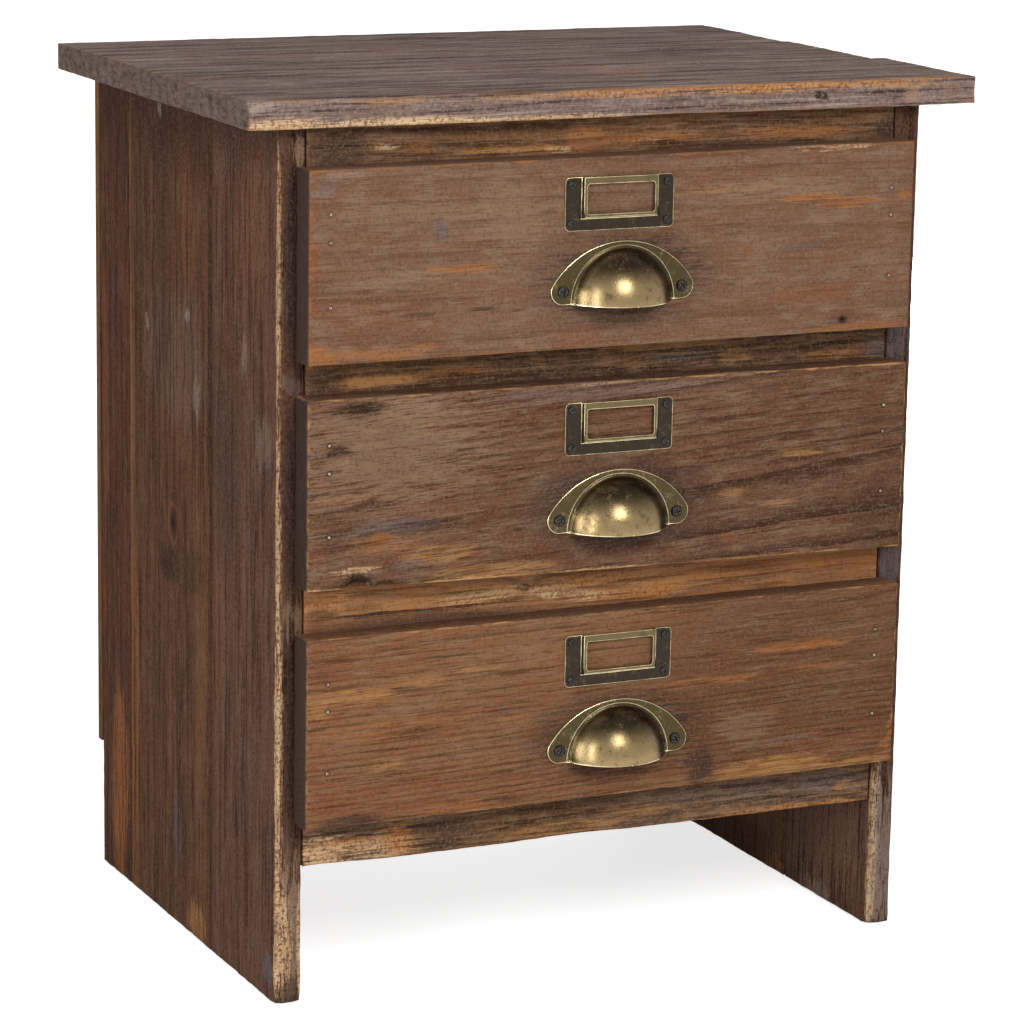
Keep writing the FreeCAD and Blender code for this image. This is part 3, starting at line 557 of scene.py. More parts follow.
def board(node, corners=(), stub=None):
    low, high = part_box(node)
    if stub:
        low.x += stub["long"] * mm
        high.x -= stub["long"] * mm
    piece = startBlock(node + "_worn", low, high)
    for right, upper, height in corners:
        pick(piece, "VERT", lambda v: (v.co.x > (low.x + high.x) / 2) == right
             and (v.co.z > (low.z + high.z) / 2) == upper)
        bpy.ops.transform.translate(value=(0, 0, height - (high.z if upper else low.z)))
    pick(piece, "EDGE", lambda edge: True)
    bpy.ops.mesh.bevel(offset=boardWear["edge"] * mm, segments=boardWear["edgeSteps"], affect="EDGES")
    restart()
    for axis in range(3):
        thin = high[axis] - low[axis] < boardWear["thin"] * mm
        netAlong(piece, axis, boardWear["thinStep" if thin else "step"])
    paintRim(piece, low, high, boardWear["rimWide"])
    for kind, group in (("sway", ""), ("ripple", ""), ("chips", "rim")):
        wearBy(piece, kind, *boardWear[kind], group)
    dentBy(piece, dents.get(node, ()))
    applyAll(piece)
    if stub:
        inset = Vector((0, (high.y - low.y - stub["thick"] * mm) / 2, stub["shoulder"] * mm))
        long = Vector((stub["long"] * mm, 0, 0))
        ends = [startBlock("stub", low + inset - long, Vector((low.x + 2 * mm, high.y, high.z)) - inset),
                startBlock("stub", Vector((high.x - 2 * mm, low.y, low.z)) + inset, high - inset + long)]
        piece = joinAll(node + "_worn", [piece, *ends])
    smooth(piece, 40)
    return piece


def place(piece, body, slot, node):
    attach(piece, body)
    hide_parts(node)


# Single marks on the boards: stain, middle, half sizes and strength. A mark on its board's main
# face leaves out the way across that face

caseWide = 428
frontFace = -20.3  # just before the drawer fronts' faces
mainFaces = {  # the axis across the face and its place
    "drawer_front": (1, frontFace),
    "rail": (1, 0),
    "top_front": (1, -15),
    "top": (2, 550),
    "left_side": (0, 0),
    "right_side": (0, caseWide),
}
markDeep = 5  # half size across the main face

marks = {}
marks["top_drawer_front"] = [
    ("grime", 210, -8, 511, 240, 10, 4.5, 0.5), ("tan", 140, 476, 24, 22, 0.45),
    ("tan", 72, 482, 47, 8.4, 0.3), ("warm", 53, 420, 33, 20, 0.35),
    ("rust", 13.3, 450, 3.9, 49, 0.85), ("orange", 19.2, 401, 10, 7.8, 0.85),
    ("orange", 53, 400, 36, 3.4, 0.65), ("orange", 85, 402, 5.9, 3.4, 0.55),
    ("orange", 111, 448, 25, 2.7, 0.75), ("tan", 77, 445, 20, 3.1, 0.6),
    ("tan", 55, 441, 9.1, 4.1, 0.5), ("blue", 95, 472, 5.9, 8.1, 0.6),
    ("dark", 124, 423, 12, 1.4, 0.75), ("dark", 81, 422, 10, 1.4, 0.5),
    ("pale", 31, 506, 16, 3, 0.4), ("grey", 22, 498, 8, 8, 0.5), ("tan", 157, 401, 11, 4.9, 0.3),
    ("rust", 186, 403, 19, 7, 0.5), ("orange", 341, 480, 21, 3.2, 0.95),
    ("orange", 368, 476, 28, 3.5, 0.95), ("gold", 282, 488, 46, 2.4, 0.5),
    ("tan", 319, 487, 49, 6.7, 0.5), ("orange", 408, 479, 5.7, 4.3, 0.6),
    ("rust", 298, 451, 7.5, 3.5, 0.7), ("rust", 342, 420, 28, 6.8, 0.45),
    ("blue", 339, 449, 20, 2.5, 0.4), ("shade", 366, 403, 12, 6, 0.6),
    ("tan", 400, 403, 9, 2.4, 0.5), ("tan", 326, 397, 5.6, 1.4, 0.5),
    ("tan", 271, 443, 5, 1.2, 0.6), ("orange", 380, 398, 39, 3.2, 0.6),
    ("cream", 349, 511, 32, 2.5, 0.7), ("grime", 250, 510, 62, 3.5, 0.3),
]
marks["middle_drawer_front"] = [
    ("grime", 210, -8, 375, 240, 10, 3.5, 0.5), ("tan", 65, 344, 64, 36, 0.5),
    ("tan", 76, 367, 22, 8.6, 0.5), ("dark", 46, 368, 18, 4.6, 0.95),
    ("rust", 63, 367, 7.3, 5.2, 0.3), ("dark", 32, 343, 11, 4.6, 0.85),
    ("gold", 88, 354, 3, 3.5, 0.7), ("gold", 38, 338, 2.9, 2.1, 0.7),
    ("blue", 70, 296, 36, 4.5, 0.55), ("orange", 57, 290, 7.4, 3.8, 0.7),
    ("orange", 59, 286, 31, 5.2, 0.5), ("rust", 21.6, 324, 8.3, 2.4, 0.6),
    ("rust", 17.8, 283, 3.6, 10, 0.5), ("gold", 33, 315, 22, 2.8, 0.35),
    ("gold", 97, 277, 30, 6, 0.6), ("gold", 128, 264, 44, 5.7, 0.65),
    ("blue", 76, 272, 13, 4.9, 0.4), ("cream", 44, 271, 13, 2.6, 0.9),
    ("dark", 44, 264.5, 11, 5.4, 1), ("cream", 20, 259.5, 14, 2.6, 0.9),
    ("cream", 112, 258, 42, 2.9, 0.9), ("cream", 196, 257, 50, 2.6, 0.85),
    ("raw", 300, 256, 70, 2.4, 0.8), ("dark", 62, 261, 15, 3, 0.75),
    ("dark", 29, 261.5, 9, 1.8, 0.7), ("grey", 200, 369, 92, 5.6, 0.5),
    ("dark", 396, 279, 23, 24, 0.35), ("shade", 360, 330, 70, 60, 0.3),
    ("rust", 327, 363, 4, 3.2, 0.8), ("gold", 338, 322, 15, 3.3, 0.6),
    ("gold", 293, 300, 10, 3.6, 0.5), ("rust", 290, 271, 6, 5.5, 0.6),
    ("gold", 328, 291, 14, 2.9, 0.5), ("cream", 293, 376, 30, 2.5, 0.5),
    ("cream", 207, 376, 39, 2.8, 0.4),
]
marks["bottom_drawer_front"] = [
    ("grime", 210, -8, 232, 240, 10, 3.5, 0.6), ("shade", 345, 176, 120, 90, 0.66),
    ("rust", 23.9, 176, 14, 64, 0.5), ("rust", 122, 127, 111, 15, 0.45),
    ("gold", 41, 194, 35, 5.3, 0.75), ("gold", 19.1, 187, 8.8, 6.3, 0.6),
    ("gold", 85, 200, 19, 3.6, 0.5), ("orange", 65, 173, 52, 7.1, 0.35),
    ("gold", 127, 204, 19, 2.9, 0.5), ("gold", 64, 150, 11, 3.6, 0.5),
    ("orange", 147, 171, 11, 2.2, 0.5), ("blue", 140, 176, 6.1, 2.9, 0.6),
    ("grime", 42, 116, 23, 6.1, 0.75), ("orange", 115, 119, 27, 5.1, 0.5),
    ("orange", 347, 198, 36, 3.2, 0.75), ("orange", 276, 181, 42, 3.4, 0.7),
    ("orange", 352, 184, 26, 2.6, 0.5), ("grime", 275, 128, 9.7, 14, 0.7),
    ("gold", 331, 120, 47, 9, 0.85), ("gold", 392, 118, 27, 3.8, 0.7),
    ("orange", 411, 133, 5, 18, 0.75), ("rust", 367, 134, 42, 11, 0.4),
    ("grey", 341, 139, 18, 2.3, 0.45), ("tan", 306, 149, 20, 10, 0.4),
    ("rust", 326, 159, 4.9, 4.5, 0.6),
]
# The rails' grime and dark marks near the drawers' edges are dirt and painted shade in the crevices round
# the drawer fronts; the long thin dark line on the lower rail is a crack
marks["top_rail"] = [
    ("grime", 37, 519, 21, 12, 0.5), ("gold", 61, 519, 7.3, 2.4, 0.7),
    ("cream", 69, 519, 7, 1.1, 0.6), ("orange", 88, 517, 12, 4.4, 0.8),
    ("gold", 151, 514, 34, 2.7, 0.9), ("cream", 180, 513, 11, 1.7, 0.7),
    ("orange", 196, 519, 16, 7.9, 0.75), ("orange", 241, 518, 40, 4.2, 0.75),
    ("cream", 239, 516, 7, 1.2, 0.6), ("orange", 338, 518, 46, 3.9, 0.7),
    ("grime", 408, 516, 14, 8.6, 0.75), ("dark", 138, 526, 49, 2.7, 0.5),
]
marks["upper_rail"] = [
    ("gold", 63, 380, 32, 3.5, 0.9), ("orange", 114, 382, 26, 3.5, 0.5),
    ("grime", 30, 381, 11, 7.5, 0.6), ("dark", 114, 371, 109, 2.8, 0.4),
    ("blue", 263, 383, 22, 4.3, 0.6), ("gold", 250, 390, 47, 2.5, 0.5),
    ("gold", 302, 381, 12, 5, 0.5), ("orange", 371, 378, 18, 2.5, 0.7),
    ("blue", 403, 381, 10, 10, 0.6),
]
marks["lower_rail"] = [
    ("raw", 33, 248, 17, 5.6, 0.8), ("dark", 28, 241, 12, 3, 0.6), ("dark", 56, 243, 15, 3, 0.4),
    ("cream", 135, 242.5, 30, 4, 0.5), ("cream", 186, 243, 26, 5, 0.5),
    ("raw", 214, 247, 34, 5, 0.7), ("dull", 375, 236, 34, 4, 0.5), ("gold", 75, 243, 36, 3.2, 0.6),
    ("gold", 131, 244, 29, 8.6, 0.95), ("cream", 161, 247, 9, 1.8, 0.6),
    ("dark", 94, 238, 89, 1.2, 0.9), ("dull", 100, 228, 112, 9.5, 0.95),
    ("cream", 180, 240, 9, 2.4, 0.8), ("cream", 213, 237, 24, 2.4, 0.8),
    ("raw", 241, 236, 32, 3.7, 0.8), ("gold", 241, 242, 64, 5.5, 0.6),
    ("orange", 314, 244, 45, 6.7, 0.55), ("orange", 382, 243, 33, 8.6, 0.7),
    ("dull", 301, 224, 134, 6.2, 0.85), ("rust", 23.8, 235, 6.6, 4.2, 0.6),
]
marks["bottom_rail"] = [
    ("cream", 33, 92, 19, 12, 1), ("cream", 67, 94, 28, 7.6, 0.75), ("raw", 80, 97, 13, 9.5, 0.8),
    ("raw", 44, 98, 29, 2.9, 0.5), ("gold", 189, 90, 47, 5.2, 0.6), ("gold", 243, 97, 30, 4.9, 0.5),
    ("raw", 344, 84, 67, 4.6, 0.85), ("grey", 301, 102, 66, 6.8, 0.5),
    ("blue", 380, 101, 25, 7.7, 0.6), ("gold", 389, 97, 6.3, 3.8, 0.7),
    ("grime", 110, 95, 21, 10, 0.45),
]
marks["top_front_board"] = [
    ("dull", 220, 541, 280, 9.5, 0.45), ("cream", 2, -15, 533, 34, 6, 6, 1),
    ("cream", 70, -15, 532.5, 62, 6, 5, 1), ("cream", 160, -15, 532, 90, 6, 3.6, 0.85),
    ("pale", -16.5, 547, 10, 4.6, 0.8), ("gold", 66, 547, 28, 2, 0.7),
    ("gold", 146, 548, 30, 2.7, 0.6), ("raw", 218, 548, 53, 3.4, 0.75),
    ("raw", 313, 548, 63, 4.2, 0.95), ("raw", 407, 549, 45, 3.2, 0.75),
    ("pink", 412, 541, 7.8, 8.5, 0.7), ("tan", 439, 541, 7.4, 7.8, 0.5),
    ("dark", 348, 542, 3.2, 2.8, 0.9), ("dark", 156, 142, 550, 30, 19, 5, 0.5),
    ("dark", 207, 107, 550, 14, 15, 5, 0.6), ("gold", 253, 61, 550, 24, 12, 5, 0.4),
    ("pale", 23.4, 60, 550, 15, 11, 5, 0.4),
]
marks["top_middle_board"] = [
    ("pale", 88, 120, 54, 12, 0.35), ("dark", 330, 160, 46, 10, 0.35),
]
marks["top_back_board"] = [
    ("gold", 160, 255, 60, 8, 0.25), ("pale", 330, 280, 46, 10, 0.3),
]
marks["left_side_back_board"] = [
    ("dark", 300, 550, 60, 66, 0.7), ("rust", 313, 306, 16, 220, 0.35),
    ("orange", 279, 62, 18, 76, 0.55),
]
marks["left_side_middle_board"] = [
    ("dark", 190, 540, 110, 52, 0.75), ("dark", 196, 455, 16, 70, 0.4),
    ("dark", 236, 420, 5, 120, 0.45), ("rust", 150, 455, 12, 60, 0.3),
    ("dark", 112.5, 380, 2.6, 190, 0.6), ("gold", 255, 375, 6.6, 176, 0.25),
    ("orange", 251, 118, 13, 121, 0.35), ("gold", 129, 178, 14, 170, 0.12),
    ("grey", 169, 370, 59, 47, 0.25), ("pale", 135, 350, 7, 12, 0.3),
    ("pale", 151, 397, 4, 3.2, 0.5), ("pale", 223, 381, 3.2, 4, 0.45),
    ("pale", 200, 521, 3.5, 5, 0.4), ("dark", 186, 235, 20, 12, 0.8),
    ("dark", 138, 238, 20, 17, 0.45), ("gold", 133, 10.1, 19, 15, 0.5),
    ("blue", 169, 66, 9.6, 27, 0.4),
]
marks["left_side_front_board"] = [
    ("dark", 60, 545, 80, 38, 0.75), ("dark", 84, 330, 22, 70, 0.35),
    ("rust", 40, 470, 26, 60, 0.18), ("pale", 53, 388, 4, 14, 0.3),
    ("pale", 21.5, 342, 14, 17, 0.2), ("rust", 96, 211, 12, 51, 0.3),
    ("blue", 11.1, 19.3, 8.5, 11, 0.7), ("dark", 107, 269, 4, 293, 0.4),
    ("cream", 0.6, 0, 440, 2.6, 2.5, 95, 0.75), ("cream", 0.6, 0, 290, 2.9, 2.5, 80, 0.75),
    ("cream", 0.8, 0, 165, 4.2, 2.5, 86, 0.95), ("tan", 10, 0, 45, 12, 2.5, 52, 0.85),
    ("cream", 0.8, 0, 54, 4.6, 2.5, 60, 0.95), ("cream", 4, 0, 40, 8, 2.5, 34, 0.9),
    # the three dark strips beside the drawers (z 450, 315, 170) are dirt and painted shade cast by the
    # proud drawer fronts
    ("grime", 13, 0, 450, 10, 2.5, 70, 0.72), ("grime", 13.8, 0, 315, 10, 2.5, 66, 0.72),
    ("grime", 14.6, 0, 170, 10, 2.5, 69, 0.72), ("tan", 13.3, 0, 518, 5, 2.5, 10, 0.8),
    ("grey", 10.9, 0, 380, 8.7, 2.5, 6.8, 0.5), ("tan", 11.6, 0, 242, 8.8, 2.5, 13, 0.5),
    ("blue", 10.8, 0, 64, 4.5, 2.5, 22, 0.4), ("cream", 17.4, 0, 35, 2.6, 2.5, 40, 0.95),
    ("grime", 9.6, 0, 5.4, 9.7, 2.5, 7.7, 0.6),
]
marks["right_side_front_board"] = [
    ("cream", 412, 0, 85, 5.1, 2.5, 24, 0.6), ("cream", 413, 0, 34, 5, 2.5, 40, 1),
    ("blue", 421, 0, 383, 19, 2.5, 15, 0.6), ("blue", 419, 0, 239, 11, 2.5, 13, 0.7),
    ("pale", 420, 0, 48, 10, 2.5, 56, 0.55), ("cream", 408, 0, 242, 2.5, 2.5, 9.8, 0.7),
    ("pale", 70, 402, 6, 16, 0.35), ("orange", 44, 150, 8, 90, 0.3), ("dark", 30, 28, 16, 34, 0.4),
    # the tan patch at x 410, z 50 is painted light on the shaded inner face of the right foot
    ("tan", 410, 66, 50, 5, 60, 50, 0.35), ("pale", 410, 66, 2.1, 5, 23, 9.8, 0.4),
]
marks["right_side_back_board"] = [
    ("orange", 284, 80, 12, 90, 0.4), ("rust", 300, 330, 12, 180, 0.35),
]
marks["right_side_middle_board"] = [
    ("gold", 205, 300, 6, 200, 0.25), ("rust", 150, 420, 20, 90, 0.35),
    # the tan patch at x 410, z 50 is painted light on the shaded inner face of the right foot
    ("pale", 182, 250, 5, 9, 0.4), ("tan", 410, 160, 50, 5, 70, 50, 0.3),
    ("dark", 410, 194, 12.2, 5, 58, 20, 0.5), ("gold", 410, 123, 4.5, 5, 15, 12, 0.35),
]

# Knots: middle and half size across the grain. Dents: middle, half sizes and depth
knots = {
    "top_drawer_front": [((366, frontFace, 403), 2.8)],
    "lower_rail": [((163, 0, 246), 3.2)],
    "left_side_middle_board": [((0, 176, 262), 7)],
    "right_side_middle_board": [((caseWide, 206, 352), 6)],
}
dents = {
    "middle_drawer_front": [((44, frontFace, 261), (12, 10, 9), 5), ((60, frontFace, 259), (16, 8, 5), 2)],
    "lower_rail": [((163, 0, 246), (5, 5, 4), 3)],
    "left_side_front_board": [((0, 0, 0), (6, 8, 10), 1), ((18, 0, 0), (5, 6, 8), 0.8),
                              ((4, 0, 48), (7, 5, 14), 1.2)],
    "top_front_board": [((-22, -15, 550), (10, 8, 7), 1.8), ((60, -15, 550), (30, 6, 4), 1.2),
                        ((452, -15, 541), (10, 9, 12), 1.6), ((250, -15, 532), (40, 6, 4), 1.2)],
    "bottom_rail": [((30, 0, 84), (40, 8, 6), 1.5), ((200, 0, 84), (50, 8, 5), 1.2)],
    "right_side_front_board": [((410, 0, 0), (6, 7, 9), 1)],
}

for name in drawers:  # painted contact shadow round each pull
    low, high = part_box(f"{name}_drawer_pull")
    x, y, z = caseSpot((low + high) / 2)
    marks[f"{name}_drawer_front"].append(("grime", x, z - 4, 58, 28, 0.8))


def marksOn(node):
    axis, level = next(face for part, face in mainFaces.items() if part in node)
    for stain, *numbers, strength in marks.get(node, ()):
        middle, half = numbers[:len(numbers) // 2], numbers[len(numbers) // 2:]
        if len(middle) == 2:
            middle.insert(axis, level)
            half.insert(axis, markDeep)
        yield stain, middle, half, strength


def dress(piece, grain, changes, slant=None):
    node = piece.name.replace("_worn", "")
    single = list(marksOn(node)), knots.get(node, ())
    paint(piece, woodFinish(piece.name, grain, *casebox(piece), changes, *single, slant))


topLook = {
    "ground": tint(144, 122, 116), "warm": tint(142, 116, 105), "pale": tint(172, 153, 140),
    "deep": tint(56, 44, 40), "scuff": tint(176, 156, 140), "rim": tint(170, 128, 88),
    "ringStep": 13, "rings": 0.5, "streakSize": (110, 2.8, 7), "streaks": 0.85, "rimWear": 0.5,
    "end": tint(76, 63, 57), "ends": 0.66,
}
sideLook = {
    "deep": tint(38, 25, 20), "scuff": tint(124, 98, 80), "rim": tint(108, 76, 58), "ringStep": 11,
    "rings": 0.4, "scuffs": 0.35, "fibreSize": (10, 0.9), "rimWear": 0.4, "streakSize": (90, 3.6),
    "streaks": 0.7, "blotches": 0.9, "grit": 0.5,
}
sideLooks = {
    "front": {"ground": tint(92, 65, 53), "warm": tint(98, 66, 48), "pale": tint(106, 80, 68),
              "rings": 0.25},
    "middle": {"ground": tint(84, 57, 43), "warm": tint(94, 62, 42), "pale": tint(104, 76, 58)},
    "back": {"ground": tint(76, 49, 38), "warm": tint(84, 50, 36), "pale": tint(92, 64, 50)},
}
for number, name in enumerate(("front", "middle", "back")):
    piece = board(f"top_{name}_board")
    dress(piece, "x", {**topLook, "seed": number})
    place(piece, "case", "top_wood", f"top_{name}_board")
    for side, hand in enumerate(("left", "right")):
        piece = board(f"{hand}_side_{name}_board")
        dress(piece, "z", {**sideLook, **sideLooks[name], "seed": 4 + number + 3 * side})
        place(piece, "case", "side_wood", f"{hand}_side_{name}_board")
print("top and sides done")

tenon = {"long": 10, "thick": 8, "shoulder": 5}
railLook = {
    "pale": tint(156, 122, 90), "rim": tint(156, 110, 66), "deep": tint(54, 37, 30),
    "ringStep": 4.5, "rings": 0.55, "streaks": 0.6, "rimWear": 0.4,
}
railLooks = {
    "top_rail": {"ground": tint(114, 85, 66), "warm": tint(132, 92, 60)},
    "upper_rail": {"ground": tint(98, 73, 57), "warm": tint(116, 82, 53)},
    "lower_rail": {"ground": tint(184, 130, 88), "warm": tint(182, 122, 76), "deep": tint(84, 56, 40),
                   "rings": 0.45},
    "bottom_rail": {"ground": tint(108, 84, 68), "warm": tint(122, 90, 60)},
}
for number, (name, look) in enumerate(railLooks.items()):
    piece = board(name, stub=tenon)
    dress(piece, "x", {**railLook, **look, "seed": 11 + number})
    place(piece, "case", "rail_wood", name)

bradColumns = (25.5, 397.5)
bradRows = (0.8, 38.9, 55.5)  # over the lowest brad's underside
frontLooks = {
    "top": {
        "ground": tint(128, 97, 77), "warm": tint(128, 90, 66), "pale": tint(142, 116, 98),
        "deep": tint(86, 58, 42), "scuff": tint(150, 124, 102), "rim": tint(164, 108, 66), "rings": 0.3,
        "ringStep": 9, "streaks": 0.35, "fibres": 0.4, "grit": 0.4,
    },
    "middle": {
        "ground": tint(116, 83, 64), "warm": tint(114, 74, 54), "pale": tint(140, 114, 90),
        "deep": tint(54, 35, 27), "rings": 0.8, "ringStep": 5.5, "slope": -0.05, "heart": (-30, 46),
        "ringSide": (140, 270), "streaks": 0.5, "rim": tint(196, 148, 98), "rimWide": 1.6,
        "rimWear": 0.85,
    },
    "bottom": {
        "ground": tint(142, 102, 72), "warm": tint(140, 91, 61), "pale": tint(142, 110, 82),
        "deep": tint(70, 45, 32), "rings": 0.5, "ringStep": 3.6, "slope": -0.02, "heart": (70, 30),
        "rim": tint(204, 154, 110), "rimWide": 1.4, "rimWear": 0.7,
    },
}
for number, name in enumerate(drawers):
    node = f"{name}_drawer_front"
    corners = []  # right or left, upper or lower, and the height
    for upper in (False, True):
        for right in (False, True):
            far = max(nodes[node].data.vertices,
                      key=lambda v: (v.co.x if right else -v.co.x) + (v.co.z if upper else -v.co.z))
            corners.append((right, upper, far.co.z))
    piece = board(node, corners)
    slant = [height / mm for right, upper, height in corners]
    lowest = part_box(f"{name}_drawer_brads")[0].z / mm
    nails = [(x, frontFace, lowest + rise) for x in bradColumns for rise in bradRows]
    dress(piece, "x", {**frontLooks[name], "seed": 16 + number, "nails": nails}, slant)
    place(piece, f"{name}_drawer", "front_wood", node)
print("rails and drawer fronts done")

# Cup pulls, made round the middle of their base line on the drawer's face

cupPull = {
    "wide": 95, "high": 37, "sheet": 1.2, "lobe": 8, "cup": 67, "reach": 22.5, "wall": 1.1,
    "cove": 2.5, "bead": 0.9, "rim": 0.45,
}


def startPoint(name, place):
    restart()
    bpy.ops.mesh.primitive_plane_add(size=0.001, location=place)
    piece = named(name)
    bpy.ops.object.mode_set(mode="EDIT")
    bpy.ops.mesh.select_mode(type="VERT")
    pickAll()
    bpy.ops.mesh.merge(type="CENTER")
    return piece


def drawTo(step):
    bpy.ops.mesh.extrude_vertices_move(TRANSFORM_OT_translate={"value": step})


def swing(degrees, centre, axis, steps):
    bpy.ops.mesh.spin(steps=steps, angle=math.radians(degrees), center=centre, axis=axis)


def makePull(size):
    w, h, r = size["wide"] * mm, size["high"] * mm, size["lobe"] * mm
    sheet, wall, reach, inner = (size[key] * mm for key in ("sheet", "wall", "reach", "cup"))
    ball = (inner ** 2 / 4 + reach ** 2) / (2 * reach)
    behind = ball - reach
    mouth = math.sqrt((ball - wall) ** 2 - behind ** 2)
    lobeX = w / 2 - r
    rise = h - r
    bowZ = (rise ** 2 - lobeX ** 2 - r ** 2) / (2 * (rise - r))
    turn = math.degrees(math.atan2(r - bowZ, lobeX))
    flange = startPoint("flange", (mouth, 0, 0))
    drawTo((lobeX - mouth, 0, 0))
    swing(90 + turn, (lobeX, 0, r), (0, 1, 0), 20)
    swing(180 - 2 * turn, (0, 0, bowZ), (0, 1, 0), 60)
    swing(90 + turn, (-lobeX, 0, r), (0, 1, 0), 20)
    drawTo((lobeX - mouth, 0, 0))
    swing(-180, (0, 0, 0), (0, 1, 0), 60)
    pickAll()
    bpy.ops.mesh.remove_doubles(threshold=0.00001)
    bpy.ops.mesh.edge_face_add()
    bpy.ops.mesh.extrude_region_move(TRANSFORM_OT_translate={"value": (0, -sheet, 0)})
    outwards()
    pick(flange, "EDGE", lambda e: all(v.co.y < -sheet * 0.9 for v in e.verts)
         and any(Vector((v.co.x, v.co.z)).length > mouth * 1.01 for v in e.verts))
    bpy.ops.mesh.bevel(offset=size["rim"] * mm, segments=3, affect="EDGES")
    pick(flange, "FACE", lambda face: face.normal.y < -0.99)
    bpy.ops.mesh.inset(thickness=0.5 * mm)
    restart()

    cove = size["cove"] * mm
    back = behind + sheet + cove
    coveX = math.sqrt((ball + cove) ** 2 - back ** 2)
    low = math.degrees(math.atan2(coveX, back))
    dome = startPoint("dome", (0, -reach, 0))
    swing(-low, (0, behind, 0), (0, 0, 1), 36)
    swing(low, (coveX, -sheet - cove, 0), (0, 0, 1), 6)
    pickAll()
    bpy.ops.mesh.spin(steps=72, angle=math.radians(180), center=(0, 0, 0), axis=(0, 1, 0))
    pickAll()
    bpy.ops.mesh.remove_doubles(threshold=0.00001)
    outwards()
    restart()
    shell = dome.modifiers.new("wall", "SOLIDIFY")
    shell.thickness = wall
    shell.offset = -1
    shell.use_even_offset = True
    applyAll(dome)

    beadR = size["bead"] * mm
    beadWay = ball - wall / 2
    low -= 1.5
    start = math.radians(low)
    restart()
    bpy.ops.mesh.primitive_circle_add(
        vertices=14, radius=beadR, rotation=(0, math.pi / 2, -start),
        location=(-beadWay * math.sin(start), behind - beadWay * math.cos(start), beadR))
    bead = named("bead")
    bpy.ops.object.mode_set(mode="EDIT")
    pickAll()
    swing(2 * low, (0, behind, 0), (0, 0, 1), 60)
    pickAll()
    bpy.ops.mesh.fill_holes(sides=0)
    outwards()
    pull = joinAll("pull", [flange, dome, bead])
    smooth(pull, 38)
    markWorn(pull)
    return pull


def combine(piece, other, operation="DIFFERENCE"):
    modifier = piece.modifiers.new("combine", "BOOLEAN")
    modifier.object = other
    modifier.operation = operation
    modifier.solver = "EXACT"
    applyAll(piece)


# Label frames, made round the middle of the plate's lower edge

labelFrame = {
    "wide": 72, "high": 32, "sheet": 0.8, "corner": 3, "cardWide": 50.6, "cardHigh": 25,
    "rise": 3.2, "slope": 0.965, "rim": 2.8, "topRim": 3.9, "windowCorner": 1.7, "edge": 0.28,
}


def makeLabel(size):
    half, high, sheet, rise = (size[key] * mm for key in ("wide", "high", "sheet", "rise"))
    half /= 2
    plate = startBlock("plate", (-half, -sheet, 0), (half, 0, high))
    pick(plate, "EDGE", lambda edge: runsAlong(edge, 1, 0))
    bpy.ops.mesh.bevel(offset=size["corner"] * mm, segments=6, affect="EDGES")
    card = size["cardWide"] * mm / 2
    cardLow = (size["high"] - size["cardHigh"]) * mm
    raised = startBlock("raised", (-card, -rise, cardLow), (card, -sheet / 2, high))
    pick(raised, "FACE", lambda face: face.normal.y < -0.9)
    bpy.ops.transform.resize(value=(size["slope"], 1, 1))
    pick(raised, "EDGE", lambda e: all(v.co.y < -rise * 0.9 and v.co.z < high / 2 for v in e.verts))
    bpy.ops.transform.translate(value=(0, 0, (1 - size["slope"]) * high))
    restart()
    rim = size["rim"] * mm
    slot = startBlock("slot", (sheet - card, sheet - rise, cardLow + sheet),
                      (card - sheet, rise, high * 2))
    window = startBlock("window", (rim - card, -2 * rise, cardLow + rim),
                        (card - rim, rise, high - size["topRim"] * mm))
    pick(window, "EDGE", lambda edge: runsAlong(edge, 1, 0))
    bpy.ops.mesh.bevel(offset=size["windowCorner"] * mm, segments=5, affect="EDGES")
    restart()
    combine(plate, raised, "UNION")
    combine(plate, slot)
    combine(plate, window)
    for cutter in (raised, slot, window):
        discard(cutter)
    ease = plate.modifiers.new("ease", "BEVEL")
    ease.width = size["edge"] * mm
    ease.segments = 2
    ease.limit_method = "ANGLE"
    ease.angle_limit = math.radians(35)
    applyAll(plate)
    pick(plate, "FACE", lambda face: face.normal.y < -0.99)
    bpy.ops.mesh.inset(thickness=0.45 * mm)
    pick(plate, "FACE", lambda face: abs(face.normal.y) < 0.5 and face.calc_area() > 10 * mm ** 2)
    bpy.ops.mesh.inset(thickness=0.35 * mm, use_individual=True)
    restart()
    smooth(plate, 30)
    markWorn(plate)
    return plate


# Cross-headed screws, made round the middle of the head's underside

def makeScrew(name, radius, high):
    radius, high = radius * mm, high * mm
    restart()
    bpy.ops.mesh.primitive_cylinder_add(vertices=32, radius=radius, depth=high,
                                        location=(0, -high / 2, 0), rotation=(math.pi / 2, 0, 0))
    head = named(name)
    pick(head, "EDGE", lambda e: all(v.co.y < -high * 0.9 for v in e.verts))
    bpy.ops.mesh.bevel(offset=high * 0.75, segments=5, affect="EDGES")
    restart()
    for wide, tall in ((1.3, 0.26), (0.26, 1.3)):
        reach = Vector((wide * radius / 2, 0, tall * radius / 2))
        slot = startBlock("slot", Vector((0, -high * 1.2, 0)) - reach,
                          Vector((0, -high * 0.4, 0)) + reach)
        pick(slot, "FACE", lambda face: face.normal.y > 0.9)
        bpy.ops.transform.resize(value=(0.6, 1, 0.6))
        combine(head, slot)
        discard(slot)
    smooth(head, 35)
    markWorn(head)
    return head


